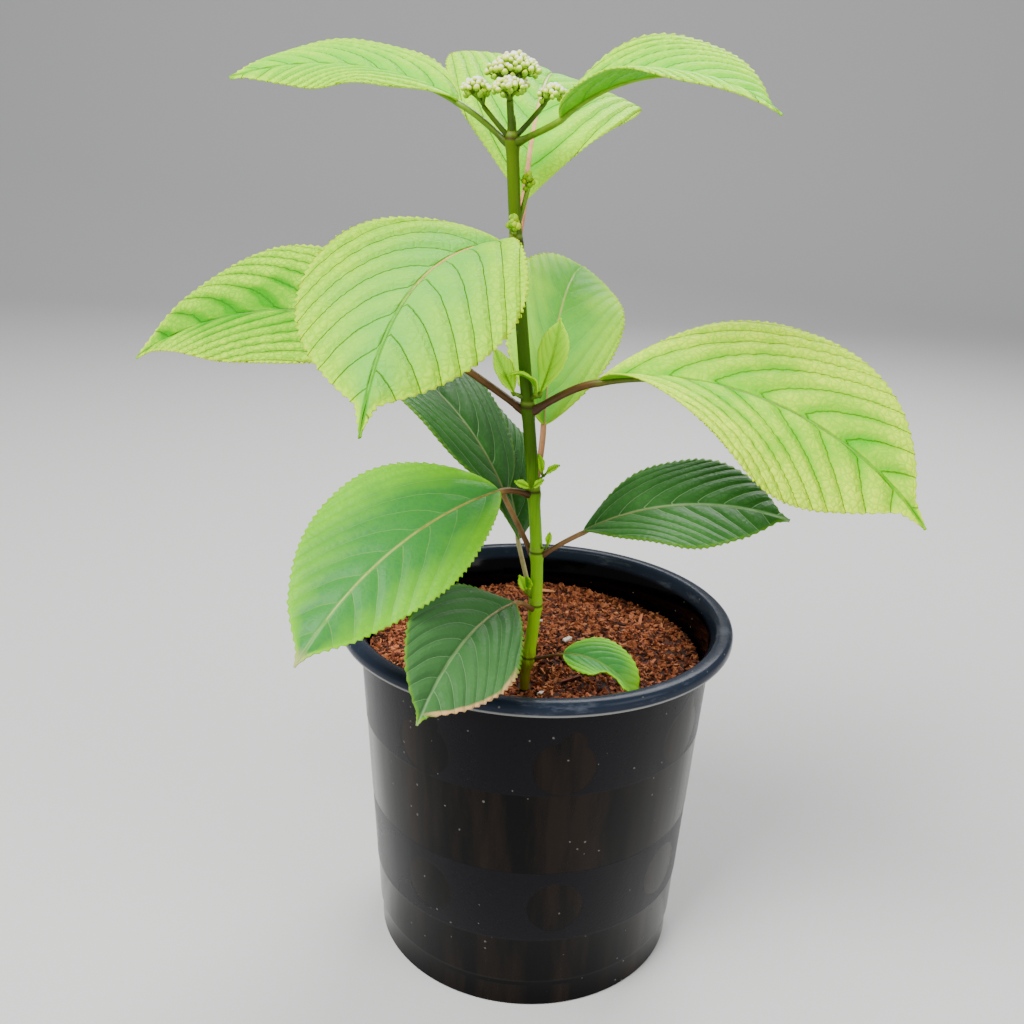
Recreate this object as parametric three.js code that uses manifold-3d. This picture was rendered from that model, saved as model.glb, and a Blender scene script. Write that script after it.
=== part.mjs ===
// A young hydrangea in its nursery pot: one upright stem with seven tiers of broad leaves,
// small shoots in their axils and a flower head still in bud.
// Millimetres and degrees, +Z up. The origin is the middle of the pot's flat underside,
// +X is the plant's right-hand side and -Y its front.

import * as THREE from 'three';
import { mergeVertices } from 'three/addons/utils/BufferGeometryUtils.js';
import Module from 'manifold-3d';

const wasm = await Module();
wasm.setup();

// Driving dimensions of the pot
const POT_HEIGHT = 198;
const RIM_RADIUS = 110;
const RIM_MOUTH_RADIUS = 100;
const RIM_SKIRT = 7;
const RIM_ROLL = 2.5;
const WALL_TOP_RADIUS = 99.5;
const FOOT_RADIUS = 87;
const FOOT_BAND = 17;
const FOOT_STEP = 1.5;
const WALL = 2.2;
const FLOOR = 3;
const DRAIN_COUNT = 6;
const DRAIN_RADIUS = 6;
const DRAIN_CIRCLE = 58;
const DRAIN_SIDES = 12;
const POT_EDGE_ROUND = 1;
const POT_SIDES = 48;

// Driving dimensions of the compost
const COMPOST_TOP = 174;
const COMPOST_AT_STEM = 172;
const COMPOST_SIDES = 40;
const COMPOST_RINGS = 8;
const COMPOST_SWELL = { height: 1.6, width: 23, start: 0.8 };
const COMPOST_RIPPLE = { height: 1.3, depth: 19, width: 41 };
const LEVEL_ROUND_STEM = 8;
const UNEVEN_FROM_STEM = 30;
const CLEARANCE = 0.3;

// Driving dimensions of the stem. Its middle line passes these places, bottom to top.
const STEM_FRONT = -45;
const STEM_LINE = [
  [-4.6, 172.3],
  [-4.6, 178],
  [-3, 192],
  [-0.5, 225],
  [-4, 282],
  [-8.5, 325],
  [-18, 416],
  [-20.8, 456.5],
];
const STEM_FOOT_RADIUS = 3.3;
const STEM_TIP_RADIUS = 2.9;
const STEM_KNOT = 0.7;
const STEM_KNOT_REACH = 5;
const STEM_SIDES = 8;
const STEM_RINGS = 32;

// Heights of the tiers where leaves leave the stem
const TIER = { 1: 190, 2: 220, 3: 249.5, 4: 282, 5: 325, 6: 404, 7: 449 };

// Shape that every leaf shares, as shares of its own length, width or stalk
const LEAF_THICKNESS = 0.011;
const TIP_WIDTH = 0.08;
const TIP_TAPER = 0.8;
const TIP_START = 3;
const BODY_END = 0.6;
const NARROWEST_BLADE = 0.5;
const BLADE_AT_STALK = 0.6;
const LINE_STEPS = 24;
const LEAF_STEPS = { along: 12, across: 6, stalk: 4, rib: 5, sides: 5, ribReach: 0.82 };
const SMALL_LEAF_STEPS = { along: 4, across: 2, stalk: 1, rib: 1, sides: 4, ribReach: 0.3 };
const MIDRIB_TAPER = 0.2;
const MIDRIB_SINK = 0.25;
const STALK_BEND = 3;
const USUAL_LEAF = {
  skin: 3.3, sweep: 0, roll: 0, twist: 0, opening: 0, curl: 0.15,
  belly: 0.5, skew: 0, blunt: 0.75, drip: 0.08,
};

// Finishes
const LIME = 0xc3d84a;
const PALE_LIME = 0xb5cf58;
const MID_GREEN = 0x7fae4e;
const DEEP_GREEN = 0x3f6d3a;
const STEM_GREEN = 0x5d7a1e;
const BUD_CREAM = 0xe6e9b6;
const POT_BLACK = 0x111317;
const COMPOST_BROWN = 0x6b3a22;

// One row for each leaf. A leaf leaves the stem on its stalk towards its heading, counted from the
// right-hand side round by the back. The stalk climbs at stalkRise and bends to rise, where the
// blade starts. The blade droops by droop and swings by sweep towards its tip. Its halves are
// folded up by fold, which changes by opening, and its edges curl down. It is rolled on its
// midrib by roll at its base and by twist more at its tip.
const LEAVES = {
  leaf_tier7_left: {
    tier: 7, heading: 165, stalk: 28.7, stalkRadius: 1.6, stalkRise: 39.3, rise: 26, droop: 45.5,
    sweep: 37.5, roll: -15.7, twist: -6.5, fold: 23.6, opening: -20, curl: 0.19, length: 107.5, width: 71,
    blunt: 0.8, colour: PALE_LIME,
  },
  leaf_tier7_right: {
    tier: 7, heading: -29.3, stalk: 23.7, stalkRadius: 1.7, stalkRise: 24.4, rise: 37, droop: 70.7,
    sweep: -3, roll: 27.7, twist: -26.5, fold: 39, opening: -38, curl: 0.11, length: 108, width: 68.5,
    blunt: 0.82, colour: PALE_LIME,
  },
  leaf_tier6_front: {
    tier: 6, heading: 239, stalk: 8, stalkRadius: 1.9, stalkRise: 4, rise: 3, droop: 46, sweep: 31,
    roll: -10, twist: 4, fold: 37, opening: -66, curl: 0.08, length: 166, width: 91,
    belly: 0.53, blunt: 0.85, drip: 0.14, colour: PALE_LIME,
  },
  leaf_tier6_back: {
    tier: 6, heading: 85, stalk: 27, stalkRadius: 1.8, stalkRise: 36, rise: 53, droop: 60,
    roll: 2, twist: 20, fold: 22, opening: -16, curl: 0.2, length: 168, width: 107,
    belly: 0.58, colour: PALE_LIME,
  },
  leaf_tier5_left: {
    tier: 5, heading: 164, stalk: 58, stalkRadius: 2, stalkRise: 31, rise: 21, droop: 56, sweep: 10,
    roll: -27, fold: 9, opening: 18, curl: 0.2, length: 169, width: 107, blunt: 0.9, colour: LIME,
  },
  leaf_tier5_right: {
    tier: 5, heading: -12, stalk: 36, stalkRadius: 2.1, stalkRise: 35, rise: 13, droop: 62, sweep: -16,
    roll: 4, twist: 38, fold: 26, opening: -33, curl: 0.05, length: 172, width: 113,
    belly: 0.52, skew: -0.02, blunt: 0.8, drip: 0.11, colour: LIME,
  },
  leaf_tier4_front: {
    tier: 4, heading: 217, stalk: 18.5, stalkRadius: 1.6, stalkRise: 22.5, rise: -7.5, droop: 35, sweep: 20,
    roll: -23, twist: -4.5, fold: 12.5, opening: -31, curl: 0.01, length: 136, width: 77,
    belly: 0.45, skew: -0.16, blunt: 0.8, colour: MID_GREEN,
  },
  leaf_tier4_back: {
    tier: 4, heading: 81, stalk: 36.5, stalkRadius: 1.6, stalkRise: 46, rise: 79, droop: 84, sweep: -4,
    roll: 26, fold: 28, opening: -6, curl: 0.27, length: 128, width: 72, skew: -0.04, colour: MID_GREEN,
  },
  leaf_tier3_left: {
    tier: 3, heading: 147.5, stalk: 33.5, stalkRadius: 1.5, stalkRise: 57, rise: 60, droop: 55, sweep: 4,
    roll: 8, twist: -4.5, fold: 11.5, opening: 4, curl: 0.17, length: 131, width: 80,
    belly: 0.47, blunt: 0.7, colour: DEEP_GREEN,
  },
  leaf_tier3_right: {
    tier: 3, heading: -9, stalk: 25, stalkRadius: 1.4, stalkRise: 38, rise: 33, droop: 47, sweep: -4,
    roll: 11, twist: 22, fold: 17, opening: -14, curl: 0.1, length: 104, width: 68, colour: DEEP_GREEN,
  },
  leaf_tier2_front: {
    tier: 2, heading: 240, stalk: 19.5, stalkRadius: 1.3, stalkRise: 37, rise: 8, droop: 42, sweep: 12,
    roll: -25.5, twist: -22, fold: 17.5, opening: 7, curl: 0.17, length: 101, width: 62,
    belly: 0.56, colour: DEEP_GREEN,
  },
  leaf_tier2_back: {
    tier: 2, heading: 117.5, stalk: 35, stalkRadius: 1.3, stalkRise: 56, rise: 65.5, droop: 38,
    roll: 30, fold: 18, opening: -9, curl: 0.12, length: 100, width: 56, colour: DEEP_GREEN,
  },
  leaf_tier1_right: {
    tier: 1, heading: -16, stalk: 17, stalkRadius: 0.9, stalkRise: 25, rise: 12, droop: 74, sweep: -4,
    roll: 18, twist: -10, fold: 8, opening: 30, length: 48, width: 32, belly: 0.46, blunt: 0.64,
    colour: MID_GREEN,
  },
};

// Young shoots in the leaf axils: each is a stub with one or more small leaves. lift is how far
// above the tier the stub leaves the stem, reach and climb are where it ends, from the stem's
// middle, and the headings of its leaves are counted from its own heading.
const SHOOTS = {
  shoot_tier5_right: {
    tier: 5, heading: -35, lift: 5, reach: 6.5, climb: 3, stubRadius: 1.5, colour: LIME,
    leaves: [
      { heading: 35, rise: 70, droop: -14, roll: 65, fold: 14, length: 38, width: 16, belly: 0.6 },
      { heading: 235, rise: 84, droop: 105, fold: 22, length: 21, width: 8 },
    ],
  },
  shoot_tier5_left: {
    tier: 5, heading: 205, lift: 5, reach: 6.5, climb: 3, stubRadius: 1.3, colour: LIME,
    leaves: [
      { heading: -25, rise: 62, droop: -4, roll: -45, fold: 20, length: 24, width: 12 },
    ],
  },
  shoot_tier4_right: {
    tier: 4, heading: 15, lift: 3, reach: 5, climb: 6, stubRadius: 0.8, colour: BUD_CREAM,
    leaves: [
      { heading: 165, rise: 82, droop: 10, roll: -60, fold: 14, length: 10, width: 4 },
      { heading: -30, rise: 45, droop: 20, roll: 40, fold: 14, length: 9, width: 4 },
    ],
  },
  shoot_tier4_front: {
    tier: 4, heading: 262, lift: 3, reach: 6.5, climb: 1, stubRadius: 0.9, colour: LIME,
    leaves: [
      { heading: -80, rise: 25, droop: 10, roll: -40, fold: 14, length: 8, width: 4.5 },
      { heading: 85, rise: 45, droop: 10, roll: 40, fold: 14, length: 7, width: 4 },
    ],
  },
  shoot_tier3_right: {
    tier: 3, heading: -40, lift: 3, reach: 6, climb: 2, stubRadius: 0.7, colour: LIME,
    leaves: [
      { heading: 40, rise: 75, droop: -10, roll: 60, fold: 14, length: 7, width: 3.5 },
    ],
  },
  shoot_tier2_left: {
    tier: 2, heading: 215, lift: 3, reach: 6, climb: 6, stubRadius: 0.9, colour: LIME,
    leaves: [
      { heading: -35, rise: 72, droop: 10, roll: -60, fold: 14, length: 9, width: 5 },
      { heading: 145, rise: 85, droop: -20, roll: 60, fold: 14, length: 8, width: 5 },
    ],
  },
};
const USUAL_SHOOT_LEAF = { skin: 0, stalk: 2, stalkRise: 70 };

// Flower buds still packed in the axils of tier 6, each a stub under a tight cluster
const AXIL_BUDS = {
  buds_tier6_front: { heading: 262, lift: 3, reach: 6.5, climb: 3, spread: 3, count: 7, bud: 1.8 },
  buds_tier6_back: { heading: 40, lift: 4, reach: 6.5, climb: 21, spread: 2.4, count: 7, bud: 1.5 },
};
const AXIL_STUB_RADIUS = 1.1;
const STUB_SIDES = 5;

// The flower head stands on the stem's top: forks carry domed clusters of round buds.
// Places are counted from the top of the stem.
const HEAD_BASE_RADIUS = 2.5;
const HEAD_STALK_RADIUS = 1.5;
const HEAD_RAY_RADIUS = 0.45;
const HEAD_BUD_RADIUS = 1.8;
const HEAD_CLUSTERS = [
  { fork: [-0.5, 0, 11.5], middle: [-1, 2, 24], spread: 11.5, dome: 7, count: 14 },
  { fork: [-0.5, -3, 10.5], middle: [-1, -11, 19], spread: 8, dome: 4, count: 6 },
  { fork: [-0.5, 3, 10.5], middle: [-1, 14, 19], spread: 8, dome: 4, count: 6 },
  { fork: [-13, -1, 7], middle: [-16.5, -2, 15.5], spread: 6, dome: 4, count: 5 },
  { fork: [13.5, -1, 8], middle: [16.5, -2, 13.5], spread: 5, dome: 3, count: 4 },
];
const GOLDEN_ANGLE = 137.5;

const radians = THREE.MathUtils.degToRad;
const UP = new THREE.Vector3(0, 0, 1);

// Solids: a closed geometry made a manifold, and back
function solidOf(geometry) {
  const bare = geometry.clone();
  bare.deleteAttribute('normal');
  bare.deleteAttribute('uv');
  const merged = mergeVertices(bare, 1e-5);
  return new wasm.Manifold(new wasm.Mesh({
    numProp: 3,
    vertProperties: new Float32Array(merged.attributes.position.array),
    triVerts: new Uint32Array(merged.index.array),
  }));
}

function geometryOf(solid) {
  const mesh = solid.getMesh();
  const geometry = new THREE.BufferGeometry();
  geometry.setAttribute('position', new THREE.BufferAttribute(mesh.vertProperties, 3));
  geometry.setIndex(new THREE.BufferAttribute(mesh.triVerts, 1));
  return geometry;
}

function joined(geometries) {
  const [first, ...others] = geometries.map(solidOf);
  return others.reduce((whole, piece) => whole.add(piece), first);
}

function reshaped(geometry, place) {
  const position = geometry.attributes.position;
  const corner = new THREE.Vector3();
  for (let i = 0; i < position.count; i++) {
    corner.fromBufferAttribute(position, i);
    const moved = place(corner);
    position.setXYZ(i, moved.x, moved.y, moved.z);
  }
  return geometry;
}

function named(name, geometry, colour, roughness) {
  geometry.computeVertexNormals();
  const finish = new THREE.MeshStandardMaterial({ color: colour, roughness, metalness: 0 });
  const mesh = new THREE.Mesh(geometry, finish);
  mesh.name = name;
  return mesh;
}

// A tapering limb: a cylinder bent along a line. lineAt gives place, tangent and side.
function limb(lineAt, radiusAt, sides, steps) {
  const straight = new THREE.CylinderGeometry(1, 1, 1, sides, steps);
  return reshaped(straight, (corner) => {
    const share = corner.y + 0.5;
    const { place, tangent, side } = lineAt(share);
    const across = side.clone().cross(tangent);
    const radius = radiusAt(share);
    return place.clone().addScaledVector(side, corner.x * radius).addScaledVector(across, corner.z * radius);
  });
}

function straightLimb(from, to, radiusFrom, radiusTo, sides) {
  const tangent = to.clone().sub(from).normalize();
  const aside = Math.abs(tangent.z) > 0.9 ? new THREE.Vector3(1, 0, 0) : UP;
  const side = aside.clone().addScaledVector(tangent, -aside.dot(tangent)).normalize();
  const lineAt = (share) => ({ place: from.clone().lerp(to, share), tangent, side });
  return limb(lineAt, (share) => THREE.MathUtils.lerp(radiusFrom, radiusTo, share), sides, 1);
}

// The pot: one turned wall with a rolled lip, a foot band and a floor with drain holes
function wallRadius(height) {
  return THREE.MathUtils.lerp(FOOT_RADIUS, WALL_TOP_RADIUS, height / POT_HEIGHT);
}

function potGeometry() {
  const skirtFoot = POT_HEIGHT - RIM_SKIRT;
  const profile = [
    [0, 0],
    [FOOT_RADIUS - POT_EDGE_ROUND, 0],
    [FOOT_RADIUS, POT_EDGE_ROUND],
    [wallRadius(FOOT_BAND) - FOOT_STEP, FOOT_BAND - FOOT_STEP],
    [wallRadius(FOOT_BAND), FOOT_BAND],
    [wallRadius(skirtFoot - RIM_ROLL), skirtFoot - RIM_ROLL],
    [RIM_RADIUS - 2 * RIM_ROLL, skirtFoot + RIM_ROLL],
    [RIM_RADIUS - RIM_ROLL / 2, skirtFoot],
    [RIM_RADIUS, skirtFoot + POT_EDGE_ROUND],
    [RIM_RADIUS, POT_HEIGHT - RIM_ROLL],
    [RIM_RADIUS - RIM_ROLL, POT_HEIGHT],
    [RIM_MOUTH_RADIUS + RIM_ROLL, POT_HEIGHT],
    [RIM_MOUTH_RADIUS, POT_HEIGHT - RIM_ROLL / 2],
    [wallRadius(skirtFoot) - WALL, skirtFoot],
    [wallRadius(FLOOR) - WALL, FLOOR],
    [0, FLOOR],
  ].map(([radius, height]) => new THREE.Vector2(radius, height));
  const turned = new THREE.LatheGeometry(profile, POT_SIDES).rotateX(Math.PI / 2);
  let pot = solidOf(turned);
  for (let i = 0; i < DRAIN_COUNT; i++) {
    const angle = (i * 2 * Math.PI) / DRAIN_COUNT;
    const drill = new THREE.CylinderGeometry(DRAIN_RADIUS, DRAIN_RADIUS, 4 * FLOOR, DRAIN_SIDES);
    drill.rotateX(Math.PI / 2);
    drill.translate(DRAIN_CIRCLE * Math.cos(angle), DRAIN_CIRCLE * Math.sin(angle), 0);
    pot = pot.subtract(solidOf(drill));
  }
  return geometryOf(pot);
}

// The compost fills the pot and has a slightly uneven top, level where the stem stands
function compostHeight(x, y) {
  const swell = COMPOST_SWELL.height * Math.sin(x / COMPOST_SWELL.width + COMPOST_SWELL.start);
  const ripple = COMPOST_RIPPLE.height * Math.cos(y / COMPOST_RIPPLE.depth - x / COMPOST_RIPPLE.width);
  const fromStem = Math.hypot(x - STEM_LINE[0][0], y - STEM_FRONT);
  const away = THREE.MathUtils.smoothstep(fromStem, LEVEL_ROUND_STEM, UNEVEN_FROM_STEM);
  return THREE.MathUtils.lerp(COMPOST_AT_STEM, COMPOST_TOP + swell + ripple, away);
}

function compostGeometry() {
  const top = wallRadius(COMPOST_TOP) - WALL - 4 * CLEARANCE;
  const bottom = wallRadius(FLOOR) - WALL - 4 * CLEARANCE;
  const profile = [new THREE.Vector2(0, FLOOR + CLEARANCE), new THREE.Vector2(bottom, FLOOR + CLEARANCE)];
  for (let ring = 0; ring <= COMPOST_RINGS; ring++) {
    profile.push(new THREE.Vector2(top * (1 - ring / COMPOST_RINGS), COMPOST_TOP));
  }
  const turned = new THREE.LatheGeometry(profile, COMPOST_SIDES).rotateX(Math.PI / 2);
  const uneven = reshaped(turned, (corner) => {
    const onTop = corner.z > COMPOST_TOP - 1;
    return onTop ? corner.clone().setZ(compostHeight(corner.x, corner.y)) : corner.clone();
  });
  return geometryOf(solidOf(uneven));
}

// The stem: a slender tapering limb, swollen at each tier
const stemCurve = new THREE.CatmullRomCurve3(STEM_LINE.map(([x, z]) => new THREE.Vector3(x, STEM_FRONT, z)));

function stemAt(share) {
  const tangent = stemCurve.getTangentAt(share);
  const side = new THREE.Vector3(1, 0, 0).addScaledVector(tangent, -tangent.x).normalize();
  return { place: stemCurve.getPointAt(share), tangent, side };
}

function stemGeometry(extra) {
  return limb(stemAt, (share) => {
    const height = stemCurve.getPointAt(share).z;
    const plain = THREE.MathUtils.lerp(STEM_FOOT_RADIUS, STEM_TIP_RADIUS, share);
    const knot = Object.values(TIER).reduce(
      (most, tier) => Math.max(most, 1 - Math.abs(height - tier) / STEM_KNOT_REACH), 0);
    return plain + STEM_KNOT * knot + extra;
  }, STEM_SIDES, STEM_RINGS);
}

function stemPlace(height) {
  const foot = STEM_LINE[0][1];
  const tip = STEM_LINE[STEM_LINE.length - 1][1];
  let share = (height - foot) / (tip - foot);
  for (let i = 0; i < 4; i++) {
    share += (height - stemCurve.getPointAt(share).z) / (tip - foot);
  }
  return stemCurve.getPointAt(share);
}

// What a leaf or shoot gives up to the stem: a solid a little fatter than the stem
const stemRoom = solidOf(stemGeometry(CLEARANCE / Math.cos(Math.PI / STEM_SIDES)));

// Directions along a leaf, in a frame whose +X is its heading
function direction(rise, swing) {
  const climb = radians(rise);
  const turn = radians(swing);
  const level = Math.cos(climb);
  return new THREE.Vector3(level * Math.cos(turn), level * Math.sin(turn), Math.sin(climb));
}

function walked(start, length, directionAt, share) {
  const place = start.clone();
  for (let i = 0; i < LINE_STEPS; i++) {
    place.addScaledVector(directionAt(((i + 0.5) / LINE_STEPS) * share), (length * share) / LINE_STEPS);
  }
  return place;
}

function leafLines(leaf) {
  const bendOfStalk = (share) => direction(
    THREE.MathUtils.lerp(leaf.stalkRise, leaf.rise, Math.max(share, 0) ** STALK_BEND), 0);
  const bendOfBlade = (share) => direction(leaf.rise - leaf.droop * share, leaf.sweep * share);
  const start = new THREE.Vector3(leaf.skin, 0, 0);
  const bladeFoot = walked(start, leaf.stalk, bendOfStalk, 1);
  const line = (place, tangent, roll) => {
    const side = UP.clone().cross(tangent).normalize().applyAxisAngle(tangent, radians(roll));
    return { place, tangent, side, up: tangent.clone().cross(side) };
  };
  const stalkAt = (share) => line(
    walked(start, leaf.stalk, bendOfStalk, share), bendOfStalk(share), leaf.roll * Math.max(share, 0));
  const bladeAt = (share) => line(
    walked(bladeFoot, leaf.length, bendOfBlade, share), bendOfBlade(share), leaf.roll + leaf.twist * share);
  return { stalkAt, bladeAt };
}

// Half the blade's width, as a share of its widest: an oval with a drawn-out drip tip
function outline(share, leaf) {
  const bend = Math.log(0.5) / Math.log(leaf.belly);
  const along = Math.min(share / (1 - BODY_END * leaf.drip), 1) ** bend;
  const body = Math.max(Math.sin(Math.PI * along), 0) ** leaf.blunt;
  const nearTip = THREE.MathUtils.smoothstep(share, 1 - TIP_START * leaf.drip, 1 - leaf.drip);
  const tip = TIP_WIDTH * nearTip * Math.min((1 - share) / leaf.drip, 1) ** TIP_TAPER;
  return body + tip;
}

function bladeGeometry(leaf, bladeAt, steps) {
  const narrowest = Math.min(BLADE_AT_STALK * leaf.stalkRadius, NARROWEST_BLADE);
  const thickness = LEAF_THICKNESS * leaf.length;
  const middle = (share, across) => {
    const { place, side, up } = bladeAt(share);
    const fold = radians(leaf.fold + leaf.opening * share);
    const half = (leaf.width / 2) * outline(share, leaf) * (1 + leaf.skew * Math.sign(across));
    const reach = Math.max(half, narrowest) * Math.abs(across);
    return place
      .addScaledVector(side, reach * Math.sign(across) * Math.cos(fold))
      .addScaledVector(up, reach * Math.sin(fold) - leaf.curl * reach * Math.abs(across));
  };
  const facing = (share, across) => {
    const step = 0.01;
    const along = middle(Math.min(share + step, 1), across).sub(middle(Math.max(share - step, 0), across));
    const over = middle(share, Math.min(across + step, 1)).sub(middle(share, Math.max(across - step, -1)));
    return along.cross(over).normalize();
  };
  const sheet = new THREE.BoxGeometry(1, 1, 1, steps.across, steps.along, 1);
  return reshaped(sheet, (corner) => {
    const share = corner.y + 0.5;
    const across = -2 * corner.x;
    return middle(share, across).addScaledVector(facing(share, across), corner.z * thickness);
  });
}

// A leaf: its stalk starts inside what it grows on and runs on just under the blade as the midrib
function leafGeometries(row, steps) {
  const leaf = { ...USUAL_LEAF, ...row };
  const { stalkAt, bladeAt } = leafLines(leaf);
  const root = leaf.skin / Math.cos(radians(leaf.stalkRise));
  const reach = leaf.stalk + steps.ribReach * leaf.length;
  const sink = MIDRIB_SINK * leaf.stalkRadius;
  const ribAt = (share) => {
    const along = THREE.MathUtils.lerp(-root, reach, share);
    const bladeShare = (along - leaf.stalk) / leaf.length;
    const line = bladeShare < 0 ? stalkAt(along / leaf.stalk) : bladeAt(bladeShare);
    const sunk = sink * THREE.MathUtils.smoothstep(along, 0, leaf.stalk);
    return { ...line, place: line.place.addScaledVector(line.up, -sunk) };
  };
  const ribRadius = (share) => leaf.stalkRadius * (1 - (1 - MIDRIB_TAPER) * share ** 1.5);
  const rib = limb(ribAt, ribRadius, steps.sides, steps.stalk + steps.rib);
  return [rib, bladeGeometry(leaf, bladeAt, steps)];
}

// Anything that grows from the stem is made in its own frame, turned to its heading at its
// height, and cut to stand just clear of the stem
function grownOn(name, height, heading, solid, colour, roughness) {
  const group = new THREE.Group();
  group.position.copy(stemPlace(height));
  group.rotation.z = radians(heading);
  group.updateMatrixWorld(true);
  const room = stemRoom.transform(group.matrixWorld.clone().invert().toArray());
  const pieces = solid.subtract(room).decompose();
  pieces.sort((one, other) => other.volume() - one.volume());
  group.add(named(name, geometryOf(pieces[0]), colour, roughness));
  return group;
}

function leafOnStem(name, leaf) {
  const grown = joined(leafGeometries(leaf, LEAF_STEPS));
  return grownOn(name, TIER[leaf.tier], leaf.heading, grown, leaf.colour, 0.5);
}

function shootOnStem(name, shoot) {
  const end = new THREE.Vector3(shoot.reach, 0, shoot.climb);
  const tipRadius = 0.7 * shoot.stubRadius;
  const pieces = [straightLimb(new THREE.Vector3(), end, shoot.stubRadius, tipRadius, STUB_SIDES)];
  for (const row of shoot.leaves) {
    const leaf = { ...USUAL_SHOOT_LEAF, stalkRadius: tipRadius, ...row };
    for (const piece of leafGeometries(leaf, SMALL_LEAF_STEPS)) {
      pieces.push(piece.rotateZ(radians(leaf.heading)).translate(end.x, end.y, end.z - tipRadius));
    }
  }
  return grownOn(name, TIER[shoot.tier] + shoot.lift, shoot.heading, joined(pieces), shoot.colour, 0.5);
}

// A domed cluster of round buds on thin rays from one fork
function clusterGeometries(fork, middle, spread, dome, count, budRadius) {
  const pieces = [];
  for (let i = 0; i < count; i++) {
    const angle = radians(i * GOLDEN_ANGLE);
    const share = Math.sqrt((i + 0.5) / count);
    const away = spread * share;
    const lift = dome * (1 - share * share) - dome / 2;
    const bud = middle.clone().add(new THREE.Vector3(away * Math.cos(angle), away * Math.sin(angle), lift));
    pieces.push(straightLimb(fork, bud, HEAD_RAY_RADIUS, HEAD_RAY_RADIUS, 3));
    pieces.push(new THREE.OctahedronGeometry(budRadius).rotateZ(angle).translate(bud.x, bud.y, bud.z));
  }
  return pieces;
}

function axilBudsOnStem(name, buds) {
  const fork = new THREE.Vector3(buds.reach, 0, buds.climb);
  const middle = fork.clone().addScaledVector(UP, buds.spread + buds.bud);
  const pieces = [
    straightLimb(new THREE.Vector3(), fork, AXIL_STUB_RADIUS, AXIL_STUB_RADIUS, STUB_SIDES),
    ...clusterGeometries(fork, middle, buds.spread, 2 * buds.spread, buds.count, buds.bud),
  ];
  return grownOn(name, TIER[6] + buds.lift, buds.heading, joined(pieces), LIME, 0.55);
}

function flowerHead() {
  const group = new THREE.Group();
  const { place, tangent } = stemAt(1);
  group.position.copy(place).addScaledVector(tangent, CLEARANCE);
  group.quaternion.setFromUnitVectors(UP, tangent);
  const base = new THREE.Vector3(0, 0, 0);
  const crotch = new THREE.Vector3(0, 0, 3.5);
  const pieces = [straightLimb(base, crotch, HEAD_BASE_RADIUS, HEAD_STALK_RADIUS, STUB_SIDES)];
  for (const cluster of HEAD_CLUSTERS) {
    const fork = new THREE.Vector3(...cluster.fork);
    const middle = new THREE.Vector3(...cluster.middle);
    const lower = new THREE.Vector3(0, 0, 2);
    pieces.push(straightLimb(lower, fork, HEAD_STALK_RADIUS, 0.8 * HEAD_STALK_RADIUS, STUB_SIDES));
    const { spread, dome, count } = cluster;
    pieces.push(...clusterGeometries(fork, middle, spread, dome, count, HEAD_BUD_RADIUS));
  }
  group.add(named('flower_head', geometryOf(joined(pieces)), BUD_CREAM, 0.6));
  return group;
}

// The whole plant in its pot
const hydrangea = new THREE.Group();
hydrangea.add(named('pot', potGeometry(), POT_BLACK, 0.3));
hydrangea.add(named('compost', compostGeometry(), COMPOST_BROWN, 0.95));
hydrangea.add(named('stem', geometryOf(solidOf(stemGeometry(0))), STEM_GREEN, 0.5));
for (const [name, leaf] of Object.entries(LEAVES)) {
  hydrangea.add(leafOnStem(name, leaf));
}
for (const [name, shoot] of Object.entries(SHOOTS)) {
  hydrangea.add(shootOnStem(name, shoot));
}
for (const [name, buds] of Object.entries(AXIL_BUDS)) {
  hydrangea.add(axilBudsOnStem(name, buds));
}
hydrangea.add(flowerHead());

export default hydrangea;
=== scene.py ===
import math

import bmesh
import bpy
import numpy as np
from mathutils import Euler, Matrix, Vector


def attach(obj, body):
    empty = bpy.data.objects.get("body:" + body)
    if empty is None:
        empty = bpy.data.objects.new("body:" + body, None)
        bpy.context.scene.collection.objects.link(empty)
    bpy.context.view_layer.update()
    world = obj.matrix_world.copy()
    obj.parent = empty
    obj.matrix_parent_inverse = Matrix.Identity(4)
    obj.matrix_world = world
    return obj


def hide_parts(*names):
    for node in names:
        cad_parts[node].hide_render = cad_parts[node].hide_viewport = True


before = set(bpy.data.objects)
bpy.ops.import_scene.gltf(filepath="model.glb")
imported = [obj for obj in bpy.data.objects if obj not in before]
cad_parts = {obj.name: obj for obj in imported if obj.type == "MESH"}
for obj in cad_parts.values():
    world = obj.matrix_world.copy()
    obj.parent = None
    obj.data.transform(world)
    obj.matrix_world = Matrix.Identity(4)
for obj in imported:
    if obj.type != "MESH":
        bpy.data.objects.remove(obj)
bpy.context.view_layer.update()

# Pot
# A thermoformed nursery pot of thin glossy black plastic: a tapering wall with two finely
# textured bands that hold smooth round medallions, a rolled lip, a foot step and drain holes.
pot_sides = 160
# Profiles: radius and height in millimetres, up the outside and down the inside
foot_profile = [(86.0, 0.0), (86.8, 0.7), (86.6, 15.0), (87.0, 16.2), (88.0, 16.9), (88.3, 18.2)]
wall_profile = [
    (89.6, 44.5), (90.0, 45.5), (92.6, 90.5), (92.9, 91.5), (95.6, 137.5), (95.9, 138.5), (98.9, 187.0),
]
lip_profile = [
    (99.8, 190.5), (101.6, 192.6), (104.6, 193.4), (107.4, 192.6), (108.6, 191.2), (109.4, 191.1),
    (109.9, 192.0), (110.0, 195.0), (109.5, 196.6), (108.4, 197.6), (107.0, 198.0), (103.2, 198.0),
    (101.6, 197.5), (100.5, 196.4), (99.8, 194.8), (97.2, 191.0), (95.9, 172.0), (84.8, 4.0), (84.0, 3.0),
]
drain_circle, drain_radius, drain_middle = 0.058, 0.006, 0.0015
drain_holes = 6


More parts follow.
